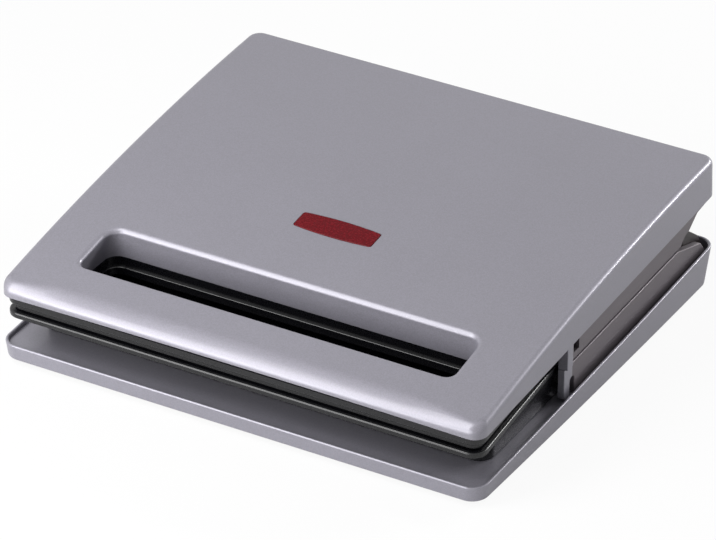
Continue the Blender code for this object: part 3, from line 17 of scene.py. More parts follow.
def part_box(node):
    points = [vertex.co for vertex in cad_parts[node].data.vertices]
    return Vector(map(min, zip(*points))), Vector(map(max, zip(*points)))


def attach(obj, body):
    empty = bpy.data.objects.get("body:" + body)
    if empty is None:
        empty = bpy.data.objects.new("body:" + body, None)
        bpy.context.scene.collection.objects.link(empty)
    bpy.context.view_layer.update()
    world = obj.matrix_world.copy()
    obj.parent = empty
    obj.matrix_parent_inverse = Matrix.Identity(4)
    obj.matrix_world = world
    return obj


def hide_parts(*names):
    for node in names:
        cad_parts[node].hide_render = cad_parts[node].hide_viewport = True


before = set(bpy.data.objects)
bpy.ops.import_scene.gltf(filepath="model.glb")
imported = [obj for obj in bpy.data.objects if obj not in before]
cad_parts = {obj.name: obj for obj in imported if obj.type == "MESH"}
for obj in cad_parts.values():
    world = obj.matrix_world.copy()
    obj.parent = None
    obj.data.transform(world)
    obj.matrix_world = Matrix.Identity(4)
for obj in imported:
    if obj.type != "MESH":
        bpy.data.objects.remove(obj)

MM = 0.001
LOG = logging.getLogger("sandwich_maker")
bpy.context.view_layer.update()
SHARP = 1.2  # radians that two faces turn by at a sharp edge
FLAT = 0.9  # least upright share of a level face's normal
SPOT = MM / 100  # points this near to each other are the same
NEAR = 0.05 * MM  # edges this near to a surface lie on it
START = 0.2 * MM  # first length of an extrusion whose end is laid on a surface
TALL = 10.0 * MM  # height of a flat block before it is laid between two surfaces
Part = bmesh.types.BMVert | bmesh.types.BMEdge | bmesh.types.BMFace
Surface = Callable[[float], float]


class Body(Enum):
    """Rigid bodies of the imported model."""

    BASE = "base"
    LID = "lid"


class Side(Enum):
    """Left or right half of the object, as the sign of X."""

    LEFT = -1
    RIGHT = 1


class Kind(Enum):
    """Parts of a mesh that can be selected."""

    POINTS = "VERT"
    EDGES = "EDGE"
    FACES = "FACE"


class Operation(Enum):
    """How one solid acts on another."""

    JOIN = "UNION"
    CUT = "DIFFERENCE"


@dataclass(frozen=True)
class Levels:
    """Heights of the sloping surfaces that the pieces share."""

    tray_front: float = -118.15 * MM
    tray_depth: float = 236.3 * MM
    rim_front: float = 11.2 * MM
    rim_rear: float = 24.7 * MM
    deck_front: float = 9.6 * MM
    frame_front: float = -115.65 * MM
    parting_front: float = 28.5 * MM
    parting_slope: float = 0.03
    seam_middle: float = 31.4 * MM
    seam_slope: float = 0.053
    lid_front: float = -117.55 * MM
    lid_rear: float = 116.45 * MM
    edge_front: float = 36.8 * MM
    edge_rear: float = 52.9 * MM
    top_front: float = 43.5 * MM
    top_rear: float = 72.1 * MM
    top_bow: float = 5.0 * MM
    hinge_y: float = 100.5 * MM
    hinge_height: float = 28.0 * MM

    def rim(self, y: float) -> float:
        """Height of the tray's rim."""
        return self.rim_front + (self.rim_rear - self.rim_front) * (y - self.tray_front) / self.tray_depth

    def deck(self, y: float) -> float:
        """Height of the tray's sunk deck."""
        return self.deck_front + self.parting_slope * (y - self.tray_front)

    def parting(self, y: float) -> float:
        """Height of the plane where the two halves meet."""
        return self.parting_front + self.parting_slope * (y - self.frame_front)

    def seam(self, y: float) -> float:
        """Height of the line between the lid's skirts and the side covers."""
        return self.seam_middle + self.seam_slope * y

    def along_lid(self, y: float) -> float:
        """How far a Y lies along the lid's depth, 0 at its front and 1 at its rear."""
        return (y - self.lid_front) / (self.lid_rear - self.lid_front)

    def lid_edge(self, y: float) -> float:
        """Height of the lid's lower edge, without the arch of its front."""
        return self.edge_front + (self.edge_rear - self.edge_front) * self.along_lid(y)

    def crown(self, y: float) -> float:
        """Height of the lid's top."""
        along = self.along_lid(y)
        chord = self.top_front + (self.top_rear - self.top_front) * along
        return chord + 4.0 * self.top_bow * along * (1.0 - along)

    def hinge(self, x: float) -> Vector:
        """A place on the hinge's axis."""
        return Vector((x, self.hinge_y, self.hinge_height))


LEVELS = Levels()


def over_parting(height: float) -> Surface:
    """A surface that runs at a height over the plane where the halves meet."""
    return lambda y: LEVELS.parting(y) + height


def over_edge(height: float) -> Surface:
    """A surface that runs at a height over the lid's lower edge."""
    return lambda y: LEVELS.lid_edge(y) + height


def spread(start: float, end: float, count: int) -> list[float]:
    """Evenly spaced places between two ends, which are left out.

    Args:
        start: First end.
        end: Second end.
        count: How many places lie between them.

    Returns:
        The places in order.
    """
    return [start + (end - start) * step / (count + 1) for step in range(1, count + 1)]


def clamp_share(value: float) -> float:
    """Holds a share between 0 and 1."""
    return min(1.0, max(0.0, value))


class Bench:
    """One mesh on the bench, worked in edit mode with Blender's own operators."""

    def __init__(self, name: str) -> None:
        """Lays a plane on the bench.

        Args:
            name: Name of the object and of its mesh.
        """
        bpy.ops.object.select_all(action="DESELECT")
        bpy.ops.mesh.primitive_plane_add(size=1.0)
        self.item = bpy.context.object
        self.item.name = name
        self.item.data.name = name
        self.open_up()

    @classmethod
    def again(cls, item: bpy.types.Object) -> "Bench":
        """Puts a finished piece back on the bench.

        Args:
            item: The piece.

        Returns:
            The bench that holds it, with every point selected.
        """
        bench = cls.__new__(cls)
        bench.item = item
        hold(item)
        return bench.open_up()

    def open_up(self) -> "Bench":
        """Enters edit mode with every point selected."""
        bpy.ops.object.mode_set(mode="EDIT")
        bpy.ops.mesh.select_mode(type="VERT")
        return self.everything()

    def everything(self) -> "Bench":
        """Selects the whole mesh."""
        bpy.ops.mesh.select_all(action="SELECT")
        return self

    def sheet(self, left: float, right: float, front: float, rear: float, height: float = 0.0) -> "Bench":
        """Sizes the plane in plan and lays it at a height.

        Args:
            left: Lowest X.
            right: Highest X.
            front: Lowest Y.
            rear: Highest Y.
            height: Its Z.

        Returns:
            The bench, for the next step.
        """
        bpy.ops.transform.resize(value=(right - left, rear - front, 1.0))
        bpy.ops.transform.translate(value=((left + right) / 2, (front + rear) / 2, height))
        return self

    def trace(self, points: Iterable[Vector], closed: bool = True) -> "Bench":
        """Draws an outline point by point, and fills it when it is closed.

        Args:
            points: Corners in order.
            closed: False leaves an open chain of edges.

        Returns:
            The bench, for the next step.
        """
        corners = [Vector(point) for point in points]
        bpy.ops.mesh.merge(type="CENTER")
        bpy.ops.transform.translate(value=corners[0])
        for before, after in zip(corners, corners[1:]):
            bpy.ops.mesh.extrude_region_move(TRANSFORM_OT_translate={"value": after - before})
        self.everything()
        if closed:
            bpy.ops.mesh.edge_face_add()
        return self

    def edit(self) -> bmesh.types.BMesh:
        """The mesh as it stands in edit mode."""
        mesh = bmesh.from_edit_mesh(self.item.data)
        mesh.normal_update()
        return mesh

    def pick(self, kind: Kind, test: Callable[[Part], bool]) -> "Bench":
        """Selects the points, edges or faces that pass a test.

        Args:
            kind: Which parts.
            test: True for what is to be selected.

        Returns:
            The bench, for the next step.
        """
        bpy.ops.mesh.select_mode(type=kind.value)
        bpy.ops.mesh.select_all(action="DESELECT")
        mesh = self.edit()
        for part in {Kind.POINTS: mesh.verts, Kind.EDGES: mesh.edges, Kind.FACES: mesh.faces}[kind]:
            part.select_set(test(part))
        bmesh.update_edit_mesh(self.item.data)
        return self

    def pick_sharp(self, test: Callable[[Vector], bool] = lambda middle: True) -> "Bench":
        """Selects the sharp edges whose middle passes a test."""
        return self.pick(Kind.EDGES, lambda edge: edge.calc_face_angle(0.0) > SHARP and test(middle_of(edge)))

    def pick_level(self, up: bool) -> "Bench":
        """Selects the faces that look straight up, or those that look straight down."""
        return self.pick(Kind.FACES, lambda face: face.normal.z > FLAT if up else face.normal.z < -FLAT)

    def round_corners(self, radius: float, steps: int,
                      test: Callable[[Vector], bool] = lambda place: True) -> "Bench":
        """Rounds those corners of a flat outline whose place passes a test.

        Args:
            radius: Radius of the arcs.
            steps: Number of steps along each arc.
            test: True for the corners to be rounded.

        Returns:
            The bench, for the next step.
        """
        corners = [point.co.copy() for point in self.edit().verts if test(point.co)]
        for corner in corners:
            self.pick(Kind.POINTS, lambda point: (point.co - corner).length < SPOT)
            point = next(point for point in self.edit().verts if point.select)
            first, second = ((edge.other_vert(point).co - corner) for edge in point.link_edges)
            offset = radius / math.tan(first.angle(second) / 2)
            bpy.ops.mesh.bevel(affect="VERTICES", offset_type="OFFSET", offset=offset, segments=steps)
        return self

    def score(self, axis: int, places: Iterable[float]) -> "Bench":
        """Cuts a line across all faces at each place along an axis.

        Args:
            axis: 0, 1 or 2 for X, Y or Z.
            places: Where the lines lie on it.

        Returns:
            The bench, for the next step.
        """
        for place in places:
            normal = Vector((0.0, 0.0, 0.0))
            normal[axis] = 1.0
            self.everything()
            bpy.ops.mesh.bisect(plane_co=normal * place, plane_no=normal)
        return self

    def trim(self, point: Vector, normal: Vector, fill: bool) -> "Bench":
        """Cuts away all that lies beyond a plane.

        Args:
            point: A point of the plane.
            normal: The side that is cut away.
            fill: True closes the cut with a face.

        Returns:
            The bench, for the next step.
        """
        self.everything()
        bpy.ops.mesh.bisect(plane_co=point, plane_no=normal, clear_outer=True, use_fill=fill)
        return self

    def extrude(self, x: float = 0.0, y: float = 0.0, z: float = 0.0) -> "Bench":
        """Extrudes what is selected."""
        bpy.ops.mesh.extrude_region_move(TRANSFORM_OT_translate={"value": (x, y, z)})
        return self

    def inset(self, thickness: float, depth: float = 0.0) -> "Bench":
        """Insets the selected faces, and moves them along their normal by a depth."""
        bpy.ops.mesh.inset(thickness=thickness, depth=depth)
        return self

    def bevel(self, width: float, steps: int = 3) -> "Bench":
        """Rounds the selected edges."""
        bpy.ops.mesh.bevel(affect="EDGES", offset_type="OFFSET", offset=width, segments=steps)
        return self

    def draw_in(self, radius: float, steps: int, flat_end: bool) -> "Bench":
        """Draws the selected face in along a quarter round.

        Args:
            radius: Radius of the quarter round.
            steps: Number of steps along it.
            flat_end: True where the round ends flat, False where it starts flat.

        Returns:
            The bench, for the next step.
        """
        turns = [math.pi / 2 * step / steps for step in range(steps + 1)]
        for near, far in zip(turns, turns[1:]):
            tall = radius * (math.sin(far) - math.sin(near))
            wide = radius * (math.cos(near) - math.cos(far))
            self.inset(*((wide, tall) if flat_end else (tall, wide)))
        return self

    def face_out(self) -> "Bench":
        """Turns all faces of a closed shape outwards."""
        self.everything()
        bpy.ops.mesh.normals_make_consistent(inside=False)
        return self

    def lay_between(self, low: Surface, high: Surface, tall: float) -> "Bench":
        """Lays the lower half of a flat block on one sloping surface and its upper half on another.

        Args:
            low: Height of the lower surface at a Y.
            high: Height of the upper surface at a Y.
            tall: Height of the flat block, which stands on zero.

        Returns:
            The bench, for the next step.
        """
        return self.mould(lambda place: Vector((
            place.x, place.y,
            place.z + low(place.y) if place.z < tall / 2 else place.z - tall + high(place.y))))

    def lift(self, surface: Surface) -> "Bench":
        """Lifts every point by the height of a surface at its Y."""
        return self.mould(lambda place: Vector((place.x, place.y, place.z + surface(place.y))))

    def mould(self, change: Callable[[Vector], Vector], picked: bool = False) -> "Bench":
        """Moves every point, or only the selected ones, to where a rule puts them.

        Args:
            change: Gives the new place of a point.
            picked: True moves the selected points only.

        Returns:
            The bench, for the next step.
        """
        for point in self.edit().verts:
            if point.select or not picked:
                point.co = change(point.co.copy())
        bmesh.update_edit_mesh(self.item.data)
        return self

    def spin(self, steps: int) -> "Bench":
        """Turns an open profile about Z into a round solid.

        Args:
            steps: Number of steps round it.

        Returns:
            The bench, for the next step.
        """
        bpy.ops.mesh.spin(steps=steps, angle=math.tau, center=(0.0, 0.0, 0.0), axis=(0.0, 0.0, 1.0))
        self.everything()
        bpy.ops.mesh.remove_doubles(threshold=SPOT)
        return self

    def off(self) -> bpy.types.Object:
        """Turns the faces outwards and takes the piece off the bench."""
        self.face_out()
        bpy.ops.object.mode_set(mode="OBJECT")
        return self.item


def middle_of(edge: bmesh.types.BMEdge) -> Vector:
    """Middle of an edge."""
    return (edge.verts[0].co + edge.verts[1].co) / 2


def hold(item: bpy.types.Object) -> None:
    """Makes one object the only one selected, and the active one."""
    bpy.ops.object.select_all(action="DESELECT")
    item.select_set(True)
    bpy.context.view_layer.objects.active = item


def apply_modifier(item: bpy.types.Object, kind: str, **settings: object) -> None:
    """Runs one modifier on a piece and applies it.

    Args:
        item: The piece.
        kind: Blender's name for the modifier.
        **settings: Its settings.
    """
    hold(item)
    step = item.modifiers.new(kind, kind)
    for name, value in settings.items():
        setattr(step, name, value)
    bpy.ops.object.modifier_apply(modifier=step.name)


def combine(item: bpy.types.Object, tool: bpy.types.Object, operation: Operation) -> None:
    """Joins a tool to a piece or cuts it out, and removes the tool.

    Args:
        item: The piece.
        tool: The tool.
        operation: Whether it is joined or cut out.
    """
    apply_modifier(item, "BOOLEAN", object=tool, operation=operation.value, solver="EXACT")
    bpy.data.objects.remove(tool, do_unlink=True)


def smooth(item: bpy.types.Object, angle: float = 35.0) -> None:
    """Shades a piece smooth up to an angle in degrees, with flat faces kept flat.

    Args:
        item: The piece.
        angle: The angle.
    """
    hold(item)
    bpy.ops.object.shade_smooth_by_angle(angle=math.radians(angle))
    apply_modifier(item, "WEIGHTED_NORMAL", keep_sharp=True, weight=80)


def rounded_block(name: str, low: Vector, high: Vector, corner: float, steps: int = 6) -> Bench:
    """A block with its upright edges rounded, still on the bench.

    Args:
        name: Name of the piece.
        low: Lowest corner.
        high: Highest corner.
        corner: Radius of the upright edges.
        steps: Number of steps round each.

    Returns:
        The bench that holds it.
    """
    bench = Bench(name).sheet(low[0], high[0], low[1], high[1], low[2])
    if corner:
        bench.round_corners(corner, steps)
    return bench.everything().extrude(z=high[2] - low[2])


def cut_from_side(name: str, x: float, plan: Iterable[tuple[float, float, float]], length: float,
                  steps: int) -> Bench:
    """A slab with an outline drawn from the side, still on the bench.

    Args:
        name: Name of the piece.
        x: Its lowest X.
        plan: Y, Z and radius of each corner.
        length: Its length along X.
        steps: Number of steps round each corner.

    Returns:
        The bench that holds it.
    """
    bench = Bench(name).trace([Vector((x, y, z)) for y, z, radius in plan])
    for y, z, radius in plan:
        corner = Vector((x, y, z))
        bench.round_corners(radius, steps, lambda place: (place - corner).length < SPOT)
    return bench.everything().extrude(x=length).face_out()


def cylinder(name: str, centre: Vector, radius: float, length: float, axis: int,
             segments: int = 40) -> bpy.types.Object:
    """A round cutter or bar.

    Args:
        name: Name of the piece.
        centre: Its middle.
        radius: Its radius.
        length: Its length.
        axis: 0, 1 or 2 for the axis that it lies along.
        segments: Number of steps round it.

    Returns:
        The piece.
    """
    turn = {0: (0.0, math.pi / 2, 0.0), 1: (math.pi / 2, 0.0, 0.0), 2: (0.0, 0.0, 0.0)}[axis]
    bpy.ops.object.select_all(action="DESELECT")
    bpy.ops.mesh.primitive_cylinder_add(vertices=segments, radius=radius, depth=length, location=centre,
                                        rotation=turn)
    item = bpy.context.object
    item.name = name
    bpy.ops.object.transform_apply(location=True, rotation=True, scale=True)
    return item


def copied(item: bpy.types.Object, name: str) -> bpy.types.Object:
    """A copy of a piece with a mesh of its own.

    Args:
        item: The piece.
        name: Name of the copy and of its mesh.

    Returns:
        The copy.
    """
    copy = item.copy()
    copy.data = item.data.copy()
    copy.name = name
    copy.data.name = name
    bpy.context.scene.collection.objects.link(copy)
    return copy


def split_off_front(item: bpy.types.Object, name: str, place: float) -> bpy.types.Object:
    """Cuts a piece in two across its depth.

    Args:
        item: The piece, which keeps what lies behind the cut.
        name: Name of the part in front of the cut.
        place: Y of the cut.

    Returns:
        The part in front of the cut.
    """
    front = copied(item, name)
    cut = Vector((0.0, place, 0.0))
    ahead = Vector((0.0, 1.0, 0.0))
    Bench.again(front).trim(cut, ahead, fill=True).off()
    Bench.again(item).trim(cut, -ahead, fill=True).off()
    return front


def mirrored(item: bpy.types.Object, name: str) -> bpy.types.Object:
    """A mirrored copy of a piece across the middle, with a mesh of its own.

    Args:
        item: The right-hand piece.
        name: Name of the copy.

    Returns:
        The left-hand copy.
    """
    bench = Bench.again(copied(item, name))
    bpy.ops.transform.resize(value=(-1.0, 1.0, 1.0), center_override=(0.0, 0.0, 0.0))
    return bench.off()


def linear(hex_colour: str) -> tuple[float, float, float, float]:
    """Turns an sRGB hex value such as 8E8C94 into Blender's linear colour."""
    channels = [int(hex_colour[start:start + 2], 16) / 255 for start in (0, 2, 4)]
    values = [c / 12.92 if c <= 0.04045 else ((c + 0.055) / 1.055) ** 2.4 for c in channels]
    return (*values, 1.0)


def add_node(tree: bpy.types.NodeTree, kind: str, inputs: dict[str, object] | None = None,
             **settings: object) -> bpy.types.Node:
    """Adds one node with its settings, constants and links.

    Args:
        tree: The node tree.
        kind: Blender's name for the node, without its ShaderNode prefix.
        inputs: Socket names or numbers, each with a constant or with an output socket to link from.
        **settings: Properties of the node.

    Returns:
        The new node.
    """
    node = tree.nodes.new("ShaderNode" + kind)
    for name, value in settings.items():
        setattr(node, name, value)
    for name, value in (inputs or {}).items():
        socket = node.inputs[name]
        if isinstance(value, bpy.types.NodeSocket):
            tree.links.new(value, socket)
        else:
            socket.default_value = value
    return node


@dataclass(frozen=True)
class Finish:
    """A surface whose colour, gloss and relief vary a little from place to place."""

    name: str
    colour: str
    second: str
    grain: float
    relief: float
    roughness: float
    roughness_spread: float = 0.05
    metallic: float = 0.0
    ior: float = 1.5
    coat: float = 0.0
    cloud: float = 30 * MM
    cloud_share: float = 0.35
    contrast: tuple[float, float] = (0.3, 0.7)

    def make(self) -> bpy.types.Material:
        """Builds the material: fine grain over a slow cloud, for colour, gloss and relief."""
        made = bpy.data.materials.new(self.name)
        made.use_nodes = True
        tree = made.node_tree
        shader = tree.nodes["Principled BSDF"]
        shader.inputs["Metallic"].default_value = self.metallic
        shader.inputs["IOR"].default_value = self.ior
        shader.inputs["Coat Weight"].default_value = self.coat
        shader.inputs["Coat Roughness"].default_value = 0.1
        place = add_node(tree, "TexCoord").outputs["Object"]
        grain = self.pattern(tree, place)
        cloud = add_node(tree, "TexNoise", {"Vector": place, "Scale": 1.0 / self.cloud, "Detail": 3.0})
        both = add_node(tree, "Mix", {"Factor": self.cloud_share, "A": grain, "B": cloud.outputs["Fac"]},
                        data_type="FLOAT")
        tone = add_node(tree, "ValToRGB", {"Fac": both.outputs[0]})
        low, high = self.contrast
        colours = (self.second, self.colour)
        for element, colour, position in zip(tone.color_ramp.elements, colours, self.contrast):
            element.color = linear(colour)
            element.position = position
        gloss = add_node(tree, "MapRange", {
            "Value": both.outputs[0], "From Min": low, "From Max": high,
            "To Min": self.roughness - self.roughness_spread,
            "To Max": self.roughness + self.roughness_spread})
        bump = add_node(tree, "Bump", {"Height": grain, "Distance": self.relief, "Strength": 1.0})
        tree.links.new(tone.outputs["Color"], shader.inputs["Base Color"])
        tree.links.new(gloss.outputs[0], shader.inputs["Roughness"])
        tree.links.new(bump.outputs["Normal"], shader.inputs["Normal"])
        return made

    def pattern(self, tree: bpy.types.NodeTree, place: bpy.types.NodeSocket) -> bpy.types.NodeSocket:
        """The fine grain, as a value between 0 and 1."""
        noise = add_node(tree, "TexNoise", {"Vector": place, "Scale": 1.0 / self.grain, "Detail": 2.0})
        return noise.outputs["Fac"]


@dataclass(frozen=True)
class FlakePaint(Finish):
    """Metallic paint: each flake of pigment has its own tone and its own slight tilt."""

    def pattern(self, tree: bpy.types.NodeTree, place: bpy.types.NodeSocket) -> bpy.types.NodeSocket:
        """One random value per flake."""
        flakes = add_node(tree, "TexVoronoi", {"Vector": place, "Scale": 1.0 / self.grain}, feature="F1")
        value = add_node(tree, "SeparateColor", {"Color": flakes.outputs["Color"]})
        return value.outputs["Red"]


@dataclass(frozen=True)
class CastLens(Finish):
    """Red plastic with small prisms on its hidden side."""

    clear: float = 0.1
    mirror: float = 0.04

    def make(self) -> bpy.types.Material:
        """Builds the material."""
        made = super().make()
        shader = made.node_tree.nodes["Principled BSDF"]
        shader.inputs["Transmission Weight"].default_value = self.clear
        shader.inputs["Specular IOR Level"].default_value = self.mirror
        return made

    def pattern(self, tree: bpy.types.NodeTree, place: bpy.types.NodeSocket) -> bpy.types.NodeSocket:
        """Small prisms, one cell each."""
        cells = add_node(tree, "TexVoronoi", {"Vector": place, "Scale": 1.0 / self.grain}, feature="F1")
        return cells.outputs["Distance"]


class Finishes:
    """All finishes of the object, each named for the real material."""

    def __init__(self) -> None:
        """Makes each finish once."""
        # Metallic paint on ABS: satin, with a faint sparkle; the flakes are drawn ten times the real 0.04 mm
        self.paint = FlakePaint("silver metallic paint on ABS", "8D8B95", "85838C", 0.4 * MM, 0.002 * MM,
                                0.42, metallic=0.4, cloud=45 * MM, coat=0.35).make()
        # The same silver paint on the skirts and side covers, with painted shade: its darker and warmer tone
        # stands in for the shade that falls on these recessed walls
        self.painted_shade_paint = FlakePaint("warm grey metallic paint on ABS", "696368", "615B60", 0.4 * MM, 0.002 * MM,
                                0.45, metallic=0.5, cloud=45 * MM, coat=0.2).make()
        # Glossy phenolic moulding: black with soft reflections
        self.frame = Finish("black phenolic moulding", "0C0C10", "07070A", 0.6 * MM, 0.003 * MM, 0.28).make()
        # Spark-eroded black polypropylene: dull and pitted; the pits are drawn three times the real 0.15 mm
        self.cover = Finish("textured black polypropylene", "18181A", "0F0F11", 0.45 * MM, 0.05 * MM,
                            0.55).make()
        # Dark brown nylon: satin
        self.housing = Finish("dark glass-filled nylon", "221A1A", "151011", 0.5 * MM, 0.02 * MM, 0.38).make()
        # PTFE on cast aluminium: near black, pebbled sheen; the pebbles are drawn twice the real 0.4 mm
        self.coating = Finish("PTFE-coated cast aluminium", "252527", "141416", 0.8 * MM, 0.02 * MM, 0.36,
                              metallic=0.2).make()
        # Tinned steel tube: straw to grey where it has been hot
        self.sheath = Finish("heat-tinted steel tube", "6F665C", "4B4642", 3.0 * MM, 0.01 * MM, 0.34,
                             metallic=1.0).make()
        # Aluminised sheet: bright and slightly spangled
        self.sheet = Finish("aluminised steel sheet", "B9BBBE", "9C9EA2", 2.5 * MM, 0.006 * MM, 0.30,
                            metallic=1.0).make()
        # Zinc plating: bright, bluish
        self.zinc = Finish("zinc-plated steel", "B4B8BC", "959AA0", 0.8 * MM, 0.004 * MM, 0.28,
                           metallic=1.0).make()
        # Natural rubber with carbon black: dull
        self.rubber = Finish("black rubber", "1C1C1C", "121212", 0.5 * MM, 0.03 * MM, 0.75).make()
        # Red polycarbonate: deep red with a soft gloss, and small prisms inside
        self.lens = CastLens("red polycarbonate lens", "740816", "5C0510", 0.9 * MM, 0.02 * MM, 0.25,
                             ior=1.58).make()
        # Neon lamp glass: clear with an orange tint
        self.glass = Finish("neon lamp glass", "E8A07A", "D88A62", 2.0 * MM, 0.002 * MM, 0.12).make()
        # Natural polyamide: ivory
        self.ivory = Finish("natural polyamide", "D8D5C8", "C9C5B6", 0.8 * MM, 0.01 * MM, 0.5).make()


def dress(item: bpy.types.Object, finish: bpy.types.Material) -> None:
    """Gives a piece one finish all over."""
    item.data.materials.clear()
    item.data.materials.append(finish)


def place_piece(item: bpy.types.Object, body: Body, slot: str, finish: bpy.types.Material,
                *nodes: str) -> None:
    """Finishes a piece, hangs it on its body and hides the imported nodes that it replaces.

    Args:
        item: The piece.
        body: The body that it rides on.
        slot: Not used.
        finish: Its material.
        *nodes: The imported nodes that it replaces.
    """
    dress(item, finish)
    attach(item, body.value)
    if nodes:
        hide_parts(*nodes)
    LOG.info("%s: %d faces on %s", item.name, len(item.data.polygons), body.value)


def place_pair(item: bpy.types.Object, body: Body, slot: str, finish: bpy.types.Material,
               node: str = "") -> None:
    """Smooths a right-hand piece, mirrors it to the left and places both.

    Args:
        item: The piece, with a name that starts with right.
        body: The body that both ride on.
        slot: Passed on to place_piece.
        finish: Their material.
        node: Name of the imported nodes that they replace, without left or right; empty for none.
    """
    smooth(item)
    pair = {Side.RIGHT: item, Side.LEFT: mirrored(item, item.name.replace("right", "left"))}
    for side, piece in pair.items():
        place_piece(piece, body, slot, finish, *([f"{side.name.lower()}_{node}"] if node else []))


@dataclass
class Tray:
    """Silver tray of the base, with its raised rim and sunk deck."""

    finishes: Finishes
    half_width: float = 130.0 * MM
    corner: float = 8.5 * MM
    standing: float = 3.0 * MM
    tall: float = 40.0 * MM
    rim_thickness: float = 1.7 * MM
    rim_round: float = 0.8 * MM
    bottom_round: float = 1.2 * MM
    wall: float = 2.2 * MM
    draft: float = 0.10
    bulge: float = 0.8 * MM
    opening_half: float = 115.8 * MM
    opening_front: float = -90.85 * MM
    opening_rear: float = 83.2 * MM
    opening_corner: float = 6.0 * MM
    gland_x: float = -50.0 * MM
    gland_height: float = 9.0 * MM
    gland_radius: float = 4.1 * MM
    gland_reach: float = 8.0 * MM

    def lean(self, place: Vector) -> Vector:
        """Leans the walls in towards the bottom and bulges the sides.

        Args:
            place: A point of the upright tray.

        Returns:
            Where it goes.
        """
        middle = LEVELS.tray_front + LEVELS.tray_depth / 2
        across = (place.y - middle) / (LEVELS.tray_depth / 2)
        drop = self.draft * (LEVELS.rim(place.y) - place.z)
        swell = self.bulge * (1.0 - min(1.0, across ** 2)) - drop
        return Vector((place.x * (1.0 + swell / self.half_width), place.y - drop * across, place.z))

    def build(self) -> None:
        """Models the tray and sets it on the base."""
        front = LEVELS.tray_front
        rear = front + LEVELS.tray_depth
        bench = Bench("tray").sheet(-self.half_width, self.half_width, front, rear, self.standing)
        bench.round_corners(self.corner, 10).score(1, spread(front, rear, 15))
        bench.everything().extrude(z=self.tall)
        slope = (LEVELS.rim_rear - LEVELS.rim_front) / LEVELS.tray_depth
        bench.trim(Vector((0.0, front, LEVELS.rim_front)), Vector((0.0, -slope, 1.0)), fill=True)
        for up, width, drop in ((True, self.rim_thickness, 0.0), (False, self.wall, self.wall)):
            bench.pick_level(up).inset(width).extrude(z=-START if up else START)
            bench.mould(lambda place: Vector((place.x, place.y, LEVELS.deck(place.y) - drop)), picked=True)
        bench.pick_sharp(lambda middle: abs(middle.z - LEVELS.rim(middle.y)) < NEAR)
        bench.bevel(self.rim_round, 4)
        outer = self.half_width - self.wall / 2
        bench.pick_sharp(lambda middle: middle.z < self.standing + NEAR
                         and (abs(middle.x) > outer or middle.y < front + self.wall / 2
                              or middle.y > rear - self.wall / 2 or self.near_corner(middle)))
        bench.bevel(self.bottom_round, 4)
        tray = bench.mould(self.lean).off()
        low = Vector((-self.opening_half, self.opening_front, 0.0))
        high = Vector((self.opening_half, self.opening_rear, self.tall))
        combine(tray, rounded_block("deck_opening", low, high, self.opening_corner).off(), Operation.CUT)
        wall = rear - self.draft * (LEVELS.rim_rear - self.gland_height)
        hole = cylinder("gland_hole", Vector((self.gland_x, wall, self.gland_height)), self.gland_radius,
                        self.gland_reach, 1)
        combine(tray, hole, Operation.CUT)
        smooth(tray)
        place_piece(tray, Body.BASE, "silver_paint", self.finishes.paint, "base_casing")

    def near_corner(self, place: Vector) -> bool:
        """True for a place on the outer arc of a corner.

        Args:
            place: The place.

        Returns:
            Whether it lies on the arc.
        """
        across = abs(place.x) - (self.half_width - self.corner)
        middle = LEVELS.tray_front + LEVELS.tray_depth / 2
        along = abs(place.y - middle) - (LEVELS.tray_depth / 2 - self.corner)
        return across > 0.0 and along > 0.0 and math.hypot(across, along) > self.corner - self.wall / 2


